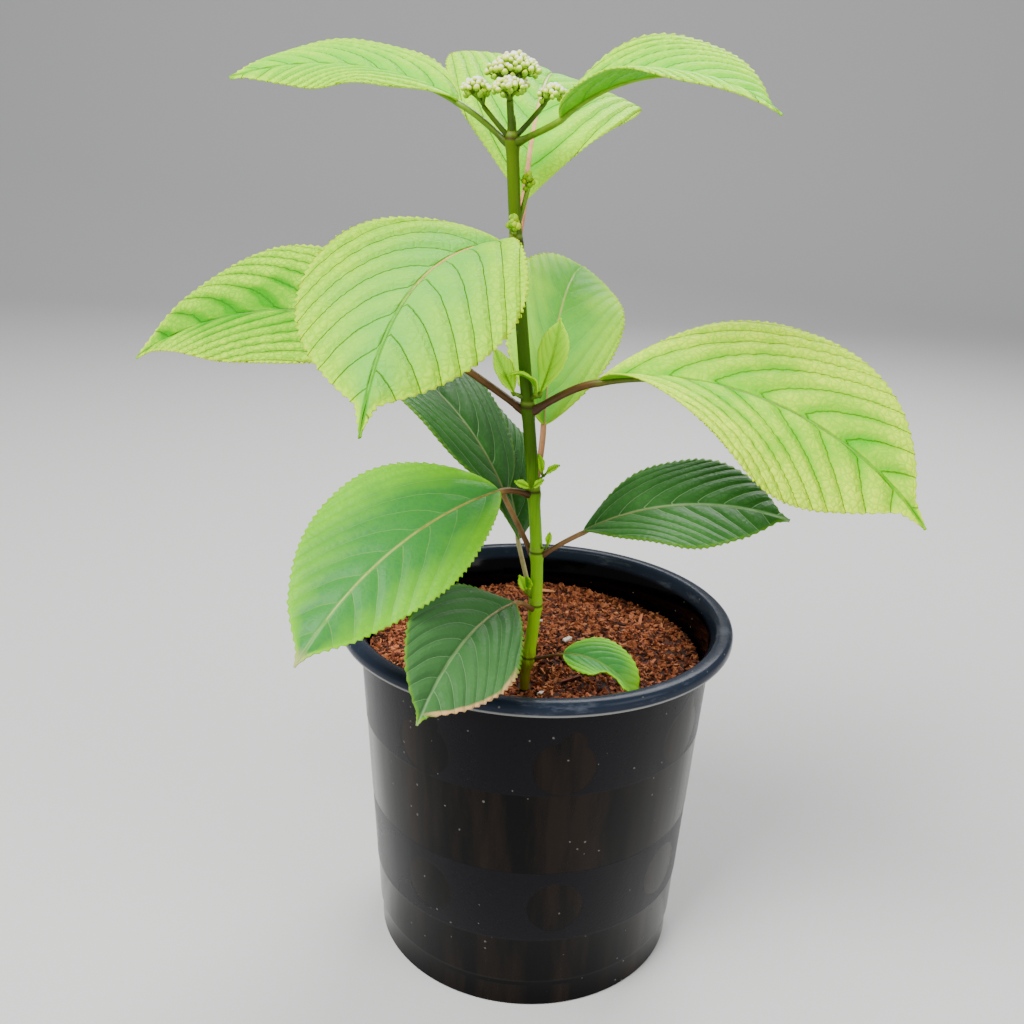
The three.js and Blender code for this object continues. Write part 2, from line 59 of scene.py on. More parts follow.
def new_shape(add, **settings):
    """Deselects everything, adds a primitive by its operator and gives its object."""
    bpy.ops.object.select_all(action="DESELECT")
    add(**settings)
    return bpy.context.object


def edit_all():
    bpy.ops.object.mode_set(mode="EDIT")
    bpy.ops.mesh.select_all(action="SELECT")


def close_shape():
    """Turns all faces outwards and leaves edit mode."""
    bpy.ops.mesh.select_all(action="SELECT")
    bpy.ops.mesh.normals_make_consistent(inside=False)
    bpy.ops.object.mode_set(mode="OBJECT")


def raise_ring(rise, grow, height):
    """Extrudes what is selected upwards and scales it about the axis at the height it comes to."""
    bpy.ops.mesh.extrude_region_move(TRANSFORM_OT_translate={"value": (0, 0, rise)})
    bpy.ops.transform.resize(value=(grow, grow, 1), center_override=(0, 0, height))


first_radius = foot_profile[0][0] / 1000
pot = new_shape(
    bpy.ops.mesh.primitive_circle_add, vertices=pot_sides, radius=first_radius, fill_type="NGON")
pot.name = "pot_shell"
edit_all()
radius, height = foot_profile[0]
for next_radius, next_height in foot_profile[1:] + wall_profile + lip_profile:
    raise_ring((next_height - height) / 1000, next_radius / radius, next_height / 1000)
    radius, height = next_radius, next_height
close_shape()

for hole in range(drain_holes):
    angle = 2 * math.pi * hole / drain_holes
    place = (drain_circle * math.cos(angle), drain_circle * math.sin(angle), drain_middle)
    drill = new_shape(
        bpy.ops.mesh.primitive_cylinder_add, vertices=32, radius=drain_radius, depth=0.02, location=place)
    bpy.ops.object.select_all(action="DESELECT")
    bpy.context.view_layer.objects.active = pot
    pot.select_set(True)
    cut = pot.modifiers.new("drain", "BOOLEAN")
    cut.operation = "DIFFERENCE"
    cut.object = drill
    bpy.ops.object.modifier_apply(modifier=cut.name)
    bpy.data.objects.remove(drill)
bpy.ops.object.shade_smooth_by_angle(angle=math.radians(32))


class Paint:
    """Short ways to add nodes to a material or a node group and to join them up."""

    def __init__(self, tree):
        self.tree = tree

    def feed(self, socket, value):
        """Gives a socket another socket's output, a number or a colour."""
        if isinstance(value, bpy.types.NodeSocket):
            self.tree.links.new(value, socket)
        elif socket.type == "RGBA":
            socket.default_value = (*value, 1)
        else:
            socket.default_value = value

    def node(self, kind, inputs=(), **settings):
        made = self.tree.nodes.new("ShaderNode" + kind)
        for key, value in settings.items():
            setattr(made, key, value)
        for key, value in dict(inputs).items():
            self.feed(made.inputs[key], value)
        return made

    def finish(self, colour, roughness, gloss, normal=None):
        """Feeds the material's Principled shader."""
        skin = self.tree.nodes["Principled BSDF"].inputs
        self.feed(skin["Base Color"], colour)
        self.feed(skin["Roughness"], roughness)
        self.feed(skin["Specular IOR Level"], gloss)
        if normal is not None:
            self.feed(skin["Normal"], normal)

    def group(self, tree, values):
        """Places a node group with its own values and gives its outputs."""
        return self.node("Group", values, node_tree=tree).outputs

    def place(self):
        return self.node("TexCoord").outputs["Object"]

    def attribute(self, name, output="Vector"):
        return self.node("Attribute", attribute_name=name).outputs[output]

    def split(self, vector):
        return self.node("SeparateXYZ", {"Vector": vector}).outputs

    def stretched(self, where, scale):
        return self.node("Mapping", {"Vector": where, "Scale": scale}).outputs[0]

    def shaken(self, where, scale, reach):
        """Coordinates pushed about by noise, which makes what is drawn on them uneven."""
        jitter = self.node("TexNoise", {"Vector": where, "Scale": scale}).outputs["Color"]
        parts = {0: jitter, 1: (reach, reach, reach), 2: where}
        return self.node("VectorMath", parts, operation="MULTIPLY_ADD").outputs[0]

    def calc(self, operation, *values, clamp=False):
        return self.node("Math", dict(enumerate(values)), operation=operation, use_clamp=clamp).outputs[0]

    def chain(self, operation, first, *others):
        """One operation carried on from the first value through all the others."""
        for value in others:
            first = self.calc(operation, first, value)
        return first

    def times(self, *values):
        return self.chain("MULTIPLY", *values)

    def total(self, *values):
        return self.chain("ADD", *values)

    def highest(self, *values):
        return self.chain("MAXIMUM", *values)

    def less(self, value, taken):
        return self.calc("SUBTRACT", value, taken)

    def length(self, first, second):
        return self.calc("SQRT", self.total(self.times(first, first), self.times(second, second)))

    def past(self, value, start, width):
        """0 up to a start, 1 from a width beyond it. A negative width runs the other way."""
        return self.calc("DIVIDE", self.less(value, start), width, clamp=True)

    def near(self, value, level, reach, fade):
        """1 close to a level, 0 beyond its reach, with a fade in between."""
        return self.past(self.calc("ABSOLUTE", self.less(value, level)), reach, -fade)

    def mix(self, first, second, share, blend="MIX"):
        made = self.node("Mix", data_type="RGBA", blend_type=blend)
        for index, value in ((0, share), (6, first), (7, second)):
            self.feed(made.inputs[index], value)
        return made.outputs[2]

    def layered(self, colour, *layers):
        """A colour with others laid over it in turn, each by its own share."""
        for over, share in layers:
            colour = self.mix(colour, over, share)
        return colour

    def noise(self, where, scale, detail=3.0, roughness=0.5):
        inputs = {"Vector": where, "Scale": scale, "Detail": detail, "Roughness": roughness}
        return self.node("TexNoise", inputs).outputs[0]

    def cells(self, where, scale, feature="F1"):
        return self.node("TexVoronoi", {"Vector": where, "Scale": scale}, feature=feature).outputs

    def specks(self, where, scale, share, size):
        """1 on small dots that sit in a share of the cells."""
        cells = self.cells(where, scale)
        chosen = self.calc("LESS_THAN", self.split(cells["Color"])[0], share)
        return self.times(chosen, self.calc("LESS_THAN", cells["Distance"], size))

    def ramp(self, value, *stops):
        made = self.node("ValToRGB", {"Fac": value})
        elements = made.color_ramp.elements
        while len(elements) < len(stops):
            elements.new(0.5)
        for element, (position, colour) in zip(elements, stops):
            element.position = position
            element.color = (*colour, 1)
        return made.outputs[0]

    def bump(self, height, strength, depth, under=None, invert=False):
        inputs = {"Height": height, "Strength": strength, "Distance": depth}
        if under is not None:
            inputs["Normal"] = under
        return self.node("Bump", inputs, invert=invert).outputs[0]


def new_material(name):
    material = bpy.data.materials.new(name)
    material.use_nodes = True
    return material, Paint(material.node_tree)


band_heights = ((0.0455, 0.0905), (0.1385, 0.188))
band_edge = 0.0007
# Medallions: height, radius and shift to the right
medallions = ((0.0675, 0.0160, 0.0), (0.155, 0.0165, 0.0), (0.170, 0.0068, 0.004))
medallions_around = 8
first_medallion = 10.5
medallion_circle, medallion_edge = 0.094, 0.0012
wall_slope, outer_skin = 0.063, 0.0858
lip_start = 0.191

pot_plastic, paint = new_material("pot_plastic")
where = paint.place()
x, y, z = paint.split(where)
outward = paint.length(x, y)
wall = paint.less(outward, paint.times(z, wall_slope))
outside = paint.calc("GREATER_THAN", wall, outer_skin)
bands = [
    paint.times(paint.past(z, low, band_edge), paint.past(z, high, -band_edge))
    for low, high in band_heights
]
turn = paint.calc("ARCTAN2", x, paint.times(y, -1.0))
step = 2 * math.pi / medallions_around
near = paint.calc("DIVIDE", paint.less(turn, math.radians(first_medallion)), step)
near = paint.times(paint.less(near, paint.calc("ROUND", near)), step * medallion_circle)
discs = []
for disc_height, disc_radius, disc_shift in medallions:
    away = paint.length(paint.less(near, disc_shift), paint.less(z, disc_height))
    discs.append(paint.past(away, disc_radius, -medallion_edge))
disc = paint.highest(*discs)
matte = paint.times(paint.highest(*bands), outside, paint.less(1.0, disc))
cloud = paint.noise(where, 9.0, 5.0, 0.6)
worn = paint.past(paint.noise(paint.stretched(where, (40, 40, 160)), 1.0, 6.0, 0.7), 0.56, 0.14)
on_lip = paint.past(z, lip_start, 0.002)
# A thin pale line along the foot of the lip's skirt: a painted highlight
painted_edge_highlight = paint.times(paint.past(z, 0.1928, -0.0007), paint.past(outward, 0.1070, 0.0006))
grain = paint.noise(where, 900.0)
ragged = paint.shaken(where, 900.0, 0.0011)
speck = paint.highest(paint.specks(ragged, 260.0, 0.09, 0.15), paint.specks(ragged, 90.0, 0.06, 0.06))
# Brownish streaks that run up and down the glossy wall, outside the bands and the lip
brown_streaks = paint.past(paint.noise(paint.stretched(where, (60, 60, 7)), 1.0, 4.0, 0.6), 0.44, 0.2)
bare = paint.times(outside, paint.less(1.0, paint.highest(matte, on_lip)))
# In these colours the lip's bluish tint is painted sky reflection on the black plastic
colour = paint.layered(
    (0.0010, 0.0008, 0.0010), ((0.0040, 0.0036, 0.0056), matte),
    ((0.011, 0.006, 0.004), paint.times(brown_streaks, bare)), ((0.014, 0.020, 0.034), on_lip),
    ((0.075, 0.085, 0.110), paint.times(worn, on_lip, 0.7)),
    ((0.26, 0.26, 0.25), paint.times(painted_edge_highlight, 0.8)), ((0.12, 0.11, 0.10), speck))
rough = paint.calc("MULTIPLY_ADD", cloud, 0.12, 0.05)
for rougher, by in ((matte, 0.17), (on_lip, 0.12), (disc, 0.10)):
    rough = paint.total(rough, paint.times(rougher, by))
rough = paint.calc("ADD", rough, paint.times(speck, 0.5), clamp=True)
texture = paint.bump(paint.times(matte, grain), 0.22, 0.0003)
drawn = paint.noise(paint.stretched(where, (55, 55, 5)), 1.0, 2.0)
paint.finish(colour, rough, 0.09, paint.bump(drawn, 0.14, 0.002, texture))
pot.data.materials.append(pot_plastic)
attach(pot, "root")
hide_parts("pot")

# Compost
# Damp coir chips and fibres that fill the pot to a finger's width under its lip. The bed is one
# uneven block, and chips, fibres, sticks and a few pale pebbles lie loose on it.
compost_top = 0.174
compost_at_stem = 0.172
stem_foot = (-0.0046, -0.045)
level_reach, level_blend = 0.008, 0.022
bed_floor, bed_foot_radius, bed_radius = 0.0034, 0.0838, 0.0945
bed_rings = 24
bed_crumble = 0.0007
wall_gap, stem_gap = 0.001, 0.0045
chip_count, chip_lengths, chip_tilt = 9000, (0.0013, 0.0038), 0.55
fibre_count, fibre_lengths, fibre_tilt = 900, (0.004, 0.010), 0.35
fibre_width = 0.0003
loose_lift = (-0.0004, 0.0010)
bit_lift, bit_tilt = 0.0012, 0.1
compost_rng = np.random.default_rng(11)


def compost_height(x, y):
    """Height of the compost's top: low waves, and a level place where the stem stands."""
    swell = 0.0016 * np.sin(x / 0.023 + 0.8) + 0.0013 * np.cos(y / 0.019 - x / 0.041)
    far = np.clip((np.hypot(x - stem_foot[0], y - stem_foot[1]) - level_reach) / level_blend, 0, 1)
    blend = far * far * (3 - 2 * far)
    return compost_at_stem + (compost_top + swell - compost_at_stem) * blend


compost = new_shape(
    bpy.ops.mesh.primitive_circle_add, vertices=96, radius=bed_foot_radius, fill_type="NGON")
compost.name = "compost_bed"
edit_all()
bpy.ops.transform.translate(value=(0, 0, bed_floor))
raise_ring(compost_top - bed_floor, bed_radius / bed_foot_radius, compost_top)
for ring in range(bed_rings, 1, -1):
    raise_ring(0, (ring - 1) / ring, compost_top)
bpy.ops.mesh.poke()
close_shape()
for vertex in compost.data.vertices:
    if vertex.co.z > compost_top / 2:
        crumb = compost_rng.uniform(-bed_crumble, bed_crumble)
        vertex.co.z = compost_height(vertex.co.x, vertex.co.y) + crumb


def corners_of(made):
    return np.array([vertex.co for vertex in made.data.vertices])


def as_pattern(made):
    """The corners and faces of an object that is only a pattern for copies."""
    corners = corners_of(made)
    faces = [tuple(face.vertices) for face in made.data.polygons]
    bpy.data.objects.remove(made)
    return corners, faces


def in_scene(name, data):
    made = bpy.data.objects.new(name, data)
    bpy.context.scene.collection.objects.link(made)
    return made


def strewn(name, pattern, matrices, tones):
    """One joined mesh of copies, each with its own place and its own tone from 0 up."""
    corners, faces = pattern
    count = len(corners)
    places = np.concatenate([corners @ np.array(m.to_3x3()).T + np.array(m.translation) for m in matrices])
    polygons = [tuple(i + copy * count for i in face) for copy in range(len(matrices)) for face in faces]
    mesh = bpy.data.meshes.new(name)
    mesh.from_pydata(places.tolist(), [], polygons)
    tone = mesh.attributes.new("tone", "FLOAT", "POINT")
    tone.data.foreach_set("value", np.repeat(tones, count).astype(np.float32))
    return in_scene(name, mesh)


# A chip is a cube with its corners knocked about, a fibre a bent three-sided thread
chip = new_shape(bpy.ops.mesh.primitive_cube_add, size=1)
for vertex in chip.data.vertices:
    vertex.co += Vector(compost_rng.uniform(-0.2, 0.2, 3))
chip_pattern = as_pattern(chip)

lying = (0, math.radians(90), 0)
fibre = new_shape(bpy.ops.mesh.primitive_cylinder_add, vertices=3, radius=0.5, depth=1, rotation=lying)
bpy.ops.object.transform_apply(location=False, rotation=True, scale=False)
edit_all()
bpy.ops.mesh.subdivide(number_cuts=4)
bpy.ops.object.mode_set(mode="OBJECT")
for vertex in fibre.data.vertices:
    vertex.co.y += 2.4 * math.sin(2.6 * vertex.co.x)
    vertex.co.z += 1.2 * math.cos(3.0 * vertex.co.x)
fibre_pattern = as_pattern(fibre)


def on_compost(x, y, lift, tilt, turn, size):
    """Where one loose bit lies on the compost."""
    place = Matrix.Translation((x, y, compost_height(x, y) + lift))
    lean = Euler((compost_rng.normal(0, tilt), compost_rng.normal(0, tilt), turn)).to_matrix().to_4x4()
    return place @ lean @ Matrix.Diagonal((*size, 1))


def loose_places(count, tilt, size_of):
    """Seeded places all over the compost, clear of the stem and of the pot's wall."""
    places = []
    while len(places) < count:
        x, y = compost_rng.uniform(-bed_radius, bed_radius, 2)
        by_stem = math.hypot(x - stem_foot[0], y - stem_foot[1])
        if math.hypot(x, y) > bed_radius - wall_gap or by_stem < stem_gap:
            continue
        turn = compost_rng.uniform(0, 2 * math.pi)
        lift = compost_rng.uniform(*loose_lift)
        places.append(on_compost(x, y, lift, tilt, turn, size_of()))
    return places


def chip_size():
    length = compost_rng.uniform(*chip_lengths)
    return length, length * compost_rng.uniform(0.25, 0.6), length * compost_rng.uniform(0.2, 0.4)


def fibre_size():
    return compost_rng.uniform(*fibre_lengths), fibre_width, fibre_width


# Larger bits: x, y, length, width, thickness, turn in degrees and tone
larger_bits = [
    (0.007, 0.081, 0.0068, 0.0048, 0.0012, 10, 1.18), (0.032, 0.072, 0.0130, 0.0021, 0.0016, -62, 0.35),
    (0.063, 0.042, 0.0120, 0.0018, 0.0014, 78, 0.80), (0.0185, 0.0055, 0.0042, 0.0034, 0.0024, 30, 1.60),
    (0.004, -0.052, 0.0030, 0.0026, 0.0020, 60, 1.55), (0.0025, 0.033, 0.0030, 0.0022, 0.0015, 0, 1.45),
    (0.020, -0.038, 0.0110, 0.0020, 0.0014, 35, 0.30), (-0.045, 0.060, 0.0100, 0.0020, 0.0014, -20, 0.75),
    (-0.060, 0.020, 0.0034, 0.0028, 0.0020, 15, 1.55), (-0.030, -0.062, 0.0090, 0.0019, 0.0013, 50, 0.70),
]
chip_places = loose_places(chip_count, chip_tilt, chip_size)
chip_tones = compost_rng.random(chip_count)
bit_places, bit_tones = [], []
for x, y, length, width, thick, turn, tone in larger_bits:
    size = (length, width, thick)
    bit_places.append(on_compost(x, y, bit_lift, bit_tilt, math.radians(turn), size))
    bit_tones.append(tone)
tones = np.concatenate([chip_tones, bit_tones])
chips = strewn("compost_chips", chip_pattern, chip_places + bit_places, tones)
fibre_places = loose_places(fibre_count, fibre_tilt, fibre_size)
fibres = strewn("compost_fibres", fibre_pattern, fibre_places, compost_rng.uniform(0.4, 1.05, fibre_count))

compost_stuff, paint = new_material("coir_compost")
where = paint.place()
tone = paint.attribute("tone", "Fac")
blotch = paint.noise(where, 55.0, 4.0)
mixed = paint.total(paint.times(tone, 0.62), paint.times(blotch, 0.3))
colour = paint.ramp(
    mixed, (0.10, (0.014, 0.004, 0.002)), (0.30, (0.11, 0.024, 0.008)), (0.50, (0.37, 0.098, 0.034)),
    (0.72, (0.52, 0.170, 0.066)), (0.86, (0.66, 0.270, 0.105)), (1.0, (0.80, 0.74, 0.62)))
paint.finish(colour, 0.8, 0.3, paint.bump(paint.noise(where, 700.0, 4.0, 0.65), 0.7, 0.0006))
for piece in (compost, chips, fibres):
    piece.data.materials.append(compost_stuff)
    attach(piece, "root")
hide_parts("compost")

# Stem
# One upright soft stem, round, swollen at each tier of leaves with a scar ring across it. It is
# olive above, bright green below and narrower where it leaves the compost.
stem_line = [
    (-4.6, 172.3), (-4.6, 178), (-3, 192), (-0.5, 225), (-4, 282), (-8.5, 325), (-18, 416), (-20.8, 456.5),
]
stem_x = np.array([x for x, z in stem_line]) / 1000
stem_z = np.array([z for x, z in stem_line]) / 1000
stem_slopes = np.gradient(stem_x, stem_z)
stem_front = -0.045
stem_sides, stem_rings = 28, 300
stem_foot_width, stem_top_width = 0.0033, 0.0029
tier_swelling, swelling_height = 0.0007, 0.0035
scar_depth, scar_height, scar_rise, ring_rise = 0.00025, 0.0006, 0.0012, 0.0034
foot_cut, foot_cut_below, neck, neck_above, cut_height = 0.0008, 0.004, 0.0009, 0.001, 0.004
tier_height = {1: 0.190, 2: 0.220, 3: 0.2495, 4: 0.282, 5: 0.325, 6: 0.404, 7: 0.449}


def stem_middle(height):
    """The stem's middle line at a height, smooth through its driving points."""
    height = np.clip(height, stem_z[0], stem_z[-1])
    k = np.clip(np.searchsorted(stem_z, height) - 1, 0, len(stem_z) - 2)
    gap = stem_z[k + 1] - stem_z[k]
    t = (height - stem_z[k]) / gap
    start = (2 * t**3 - 3 * t**2 + 1) * stem_x[k] + (t**3 - 2 * t**2 + t) * gap * stem_slopes[k]
    end = (3 * t**2 - 2 * t**3) * stem_x[k + 1] + (t**3 - t**2) * gap * stem_slopes[k + 1]
    return np.stack([start + end, np.full_like(start, stem_front), height], -1)


def long_cylinder(sides, rings):
    """A cylinder of radius 1 and height 1 with rings along it, made to be bent."""
    made = new_shape(bpy.ops.mesh.primitive_cylinder_add, vertices=sides, radius=1, depth=1)
    bm = bmesh.new()
    bm.from_mesh(made.data)
    upright = [edge for edge in bm.edges if abs(edge.verts[0].co.z - edge.verts[1].co.z) > 0.5]
    bmesh.ops.subdivide_edges(bm, edges=upright, cuts=rings)
    bm.to_mesh(made.data)
    bm.free()
    corners = corners_of(made)
    around = np.arctan2(corners[:, 1], corners[:, 0])
    return made, around, np.hypot(corners[:, 0], corners[:, 1]), corners[:, 2] + 0.5


stem, around, rim, share = long_cylinder(stem_sides, stem_rings)
stem.name = "stem_skin"
height = stem_z[0] + share * (stem_z[-1] - stem_z[0])
width = stem_foot_width + (stem_top_width - stem_foot_width) * share
width = width - foot_cut * np.clip((tier_height[1] - foot_cut_below - height) / cut_height, 0, 1)
for tier in tier_height.values():
    width = width + tier_swelling * np.exp(-(((height - tier) / swelling_height) ** 2))
    width = width - scar_depth * np.exp(-(((height - tier - scar_rise) / scar_height) ** 2))
width = width - neck * np.clip((height - tier_height[7] - neck_above) / cut_height, 0, 1)
width = width * (1 + 0.02 * np.cos(2 * around + 40 * height) + 0.012 * np.sin(5 * around)) * rim
across = np.stack([np.cos(around) * width, np.sin(around) * width, np.zeros_like(width)], -1)
placed = stem_middle(height) + across
stem.data.vertices.foreach_set("co", placed.ravel())
bpy.ops.object.shade_smooth_by_angle(angle=math.radians(50))

stem_skin, paint = new_material("stem_skin")
where = paint.place()
z = paint.split(where)[2]
streaks = paint.noise(paint.stretched(where, (1300, 1300, 50)), 1.0)
up = paint.past(z, stem_z[0], stem_z[-1] - stem_z[0])
uneven = paint.times(paint.less(streaks, 0.5), 0.10)
colour = paint.ramp(
    paint.total(up, uneven), (0.0, (0.22, 0.20, 0.012)), (0.055, (0.20, 0.26, 0.008)),
    (0.08, (0.36, 0.68, 0.0)), (0.30, (0.24, 0.55, 0.0)), (0.46, (0.055, 0.130, 0.0)),
    (0.66, (0.042, 0.100, 0.0)), (1.0, (0.090, 0.160, 0.0)))
tiers = tier_height.values()
scars = paint.highest(*(paint.near(z, tier + scar_rise, 0.0011, 0.0009) for tier in tiers))
rings = paint.highest(*(paint.near(z, tier + ring_rise, 0.0012, 0.001) for tier in tiers))
lenticels = paint.specks(paint.stretched(where, (1, 1, 0.5)), 320.0, 0.22, 0.17)
colour = paint.layered(
    colour, ((0.30, 0.36, 0.06), paint.times(rings, 0.45)),
    ((0.055, 0.024, 0.010), paint.times(scars, 0.85)),
    ((0.17, 0.13, 0.05), paint.times(lenticels, 0.55)))
paint.finish(colour, 0.42, 0.15, paint.bump(streaks, 0.35, 0.0003))
stem.data.materials.append(stem_skin)
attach(stem, "root")
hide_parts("stem")

# Leaves
# Thirteen stalked leaves in crossed pairs. A blade is a thin oval sheet with a drawn-out tip and
# a forward-toothed edge, sunk along its veins and puffed up between them, folded on a midrib that
# the stalk runs on into. The lower leaves are darker, the upper ones pale and yellow at the edge.
blade_thickness = 0.0007
midrib_taper = 0.2
stalk_bend = 3
tooth_spacing = 3.3
rows_a_tooth = 5
columns_across = 40
tooth_lean, tooth_base = 0.72, 0.45
vein_slant, vein_curve, vein_stagger, vein_start = 0.62, 2.9, 0.22, 0.3
puff_shape, flat_by_rib, flat_by_edge = 0.7, 0.004, 0.006
rib_reach = 0.93
channel_width, channel_depth = 0.0012, 0.6
stalk_foot_swelling = 0.35


def mark(mesh, name, *values):
    """Keeps three values for each corner of a mesh, which its material reads by their name."""
    attribute = mesh.attributes.new(name, "FLOAT_VECTOR", "POINT")
    attribute.data.foreach_set("vector", np.stack(values, -1).astype(np.float32).ravel())


def smooth(piece):
    faces = piece.data.polygons
    faces.foreach_set("use_smooth", np.ones(len(faces), dtype=bool))


def heading_vector(rise, swing):
    rise, swing = np.radians(rise), np.radians(swing)
    level = np.cos(rise)
    return np.stack([level * np.cos(swing), level * np.sin(swing), np.sin(rise)], -1)


def leaf_line(leaf, along):
    """The leaf's midline at distances along it: places, and directions to its side and above it.

    It starts at the stalk's foot and is in a frame whose +X is the leaf's heading, in metres."""
    stalk, length = leaf["stalk"] / 1000, leaf["length"] / 1000
    fine = np.linspace(min(along.min(), 0), stalk + length, 900)
    stalk_share = np.clip(fine / stalk, 0, 1)
    share = np.clip((fine - stalk) / length, 0, 1)
    rise = leaf["stalk_rise"] + (leaf["rise"] - leaf["stalk_rise"]) * stalk_share**stalk_bend
    rise = rise - leaf["droop"] * share
    swing = leaf["sweep"] * share
    headings = heading_vector((rise[1:] + rise[:-1]) / 2, (swing[1:] + swing[:-1]) / 2)
    walked = np.concatenate([np.zeros((1, 3)), np.cumsum(headings * np.diff(fine)[:, None], 0)])
    start = np.array([np.interp(0, fine, walked[:, k]) for k in range(3)])
    walked = walked - start + np.array([leaf["skin"] / 1000, 0, 0])
    place = np.stack([np.interp(along, fine, walked[:, k]) for k in range(3)], -1)
    forward = heading_vector(np.interp(along, fine, rise), np.interp(along, fine, swing))
    level = np.cross([0, 0, 1], forward)
    level /= np.linalg.norm(level, axis=-1, keepdims=True)
    part = np.interp(along, fine, share)
    roll = np.radians(leaf["roll"] * np.clip(along / stalk, 0, 1) + leaf["twist"] * part)[..., None]
    side = level * np.cos(roll) + np.cross(forward, level) * np.sin(roll)
    return place, side, np.cross(forward, side)


def half_width(share, across, leaf):
    """How far the blade reaches from its midrib: an oval with a drawn-out tip and any bite in it."""
    bend = math.log(0.5) / math.log(leaf["belly"])
    run = np.clip(share / (1 - 0.6 * leaf["drip"]), 0, 1) ** bend
    body = np.clip(np.sin(np.pi * run), 0, 1) ** leaf["blunt"]
    flare = 0.36 * np.clip((1 - share) / (2.2 * leaf["drip"]), 0, 1) ** 1.15 * (share > 0.5)
    outline = (body**4 + flare**4) ** 0.25
    half = leaf["width"] / 2000 * outline * (1 + leaf["skew"] * np.sign(across))
    if "bite" in leaf:
        side, middle, reach, depth = leaf["bite"]
        bitten = np.exp(-(((share - middle) / reach) ** 4)) * (np.sign(across) == side)
        half = half * (1 - depth * bitten)
    return np.maximum(half, 0.0004)


def saw_teeth(share, across, leaf):
    """Forward-pointing teeth on the outermost part of the blade, uneven like real ones."""
    tooth = (share * leaf["teeth"] + 0.15 * np.sin(9 * share + leaf["seed"])) % 1
    saw = np.where(tooth < tooth_lean, tooth / tooth_lean, (1 - tooth) / (1 - tooth_lean)) - tooth_base
    uneven = 0.75 + 0.5 * np.abs(np.sin(31 * share + 2 * leaf["seed"] + across))
    outermost = np.clip((np.abs(across) - 0.9) / 0.1, 0, 1)
    ends = np.clip((1 - share) * 18, 0, 1) * np.clip((share - 0.06) * 10, 0, 1)
    return leaf["tooth"] / 1000 * saw * uneven * outermost * ends


def make_blade(name, leaf, columns, rows):
    """The blade as a thin closed sheet, with material 0 above and 1 below."""
    blade = new_shape(bpy.ops.mesh.primitive_grid_add, x_subdivisions=columns, y_subdivisions=rows, size=2)
    blade.name = name
    flat = corners_of(blade)
    across, share = -flat[:, 0], (flat[:, 1] + 1) / 2
    stalk, length = leaf["stalk"] / 1000, leaf["length"] / 1000
    place, side, above = leaf_line(leaf, stalk + share * length)
    half = half_width(share, across, leaf)
    distance = np.abs(across) * half + saw_teeth(share, across, leaf)
    fold = np.radians(leaf["fold"] + leaf["opening"] * share)
    root = share * length - vein_slant * distance - vein_curve * distance**2 / (leaf["width"] / 1000)
    phase = leaf["veins"] * root / length + vein_stagger * np.sign(across) + vein_start
    puff = np.abs(np.sin(np.pi * phase)) ** puff_shape - 0.5
    puff = puff * np.clip(distance / flat_by_rib, 0, 1) * np.clip((half - distance) / flat_by_edge, 0, 1)
    wave = np.sin(leaf["waves"] * share * np.pi + leaf["seed"] + across) * np.abs(across) ** 3
    channel = np.exp(-((distance / channel_width) ** 2)) * np.clip((1 - share) * 3, 0, 1)
    relief = leaf["quilt"] * puff + leaf["wave"] * wave - channel_depth * channel
    height = distance * np.sin(fold) - leaf["curl"] * half * across**2 + relief / 1000
    shaped = place + side * (np.sign(across) * distance * np.cos(fold))[:, None] + above * height[:, None]
    blade.data.vertices.foreach_set("co", shaped.ravel())
    mark(blade.data, "leaf_place", across, share, distance)
    mark(blade.data, "leaf_vein", phase, half - distance, 0 * phase)
    blade.data.materials.append(uppers[leaf["look"]])
    blade.data.materials.append(bright_underside if leaf["look"] in bright_looks else dark_underside)
    thick = blade.modifiers.new("thickness", "SOLIDIFY")
    thick.thickness = blade_thickness
    thick.offset = 0
    thick.material_offset = 1
    bpy.ops.object.modifier_apply(modifier=thick.name)
    smooth(blade)
    return blade


def make_stalk(leaf):
    """The stalk and midrib, one tapering limb that runs on just under the blade."""
    stalk, length = leaf["stalk"] / 1000, leaf["length"] / 1000
    rib, around, rim, share = long_cylinder(12, 80)
    root = leaf["skin"] / 1000 / math.cos(math.radians(leaf["stalk_rise"]))
    along = -root + share * (root + stalk + rib_reach * length)
    place, side, above = leaf_line(leaf, along)
    on_blade = np.clip((along - stalk) / (rib_reach * length), 0, 1)
    radius = leaf["stalk_radius"] / 1000 * (1 - (1 - midrib_taper) * on_blade ** leaf["rib_taper"])
    radius = radius * (1 + stalk_foot_swelling * np.exp(-((along / 0.003) ** 2)))
    sunk = leaf["rib_sink"] * radius * np.clip(along / stalk, 0, 1) ** 2
    radius = radius * rim * (1 - 0.22 * np.clip(np.sin(around), 0, 1) ** 3)
    aside, height = np.cos(around) * radius, np.sin(around) * radius - sunk
    shaped = place + side * aside[:, None] + above * height[:, None]
    rib.data.vertices.foreach_set("co", shaped.ravel())
    part = np.where(along < stalk, along / stalk, 1 + (along - stalk) / length)
    mark(rib.data, "leaf_place", around, part, radius)
    bpy.ops.object.shade_smooth_by_angle(angle=math.radians(60))
    rib.data.materials.append(skins[leaf["skin_look"]])
    return rib


def join_all(pieces, name):
    bpy.ops.object.select_all(action="DESELECT")
    for piece in pieces:
        piece.select_set(True)
    bpy.context.view_layer.objects.active = pieces[0]
    bpy.ops.object.join()
    pieces[0].name = name
    return pieces[0]


def make_leaf(name, leaf, columns, rows):
    return join_all([make_blade(name, leaf, columns, rows), make_stalk(leaf)], name)


def new_group(name, colours, amounts, results):
    """A node group with the named inputs, and outputs by name and kind."""
    group = bpy.data.node_groups.new(name, "ShaderNodeTree")
    kinds = {**dict.fromkeys(colours, "Color"), **dict.fromkeys(amounts, "Float")}
    for way, sockets in (("INPUT", kinds), ("OUTPUT", results)):
        for label, kind in sockets.items():
            group.interface.new_socket(label, in_out=way, socket_type="NodeSocket" + kind)
    given = group.nodes.new("NodeGroupInput").outputs
    return group, Paint(group), given, group.nodes.new("NodeGroupOutput").inputs
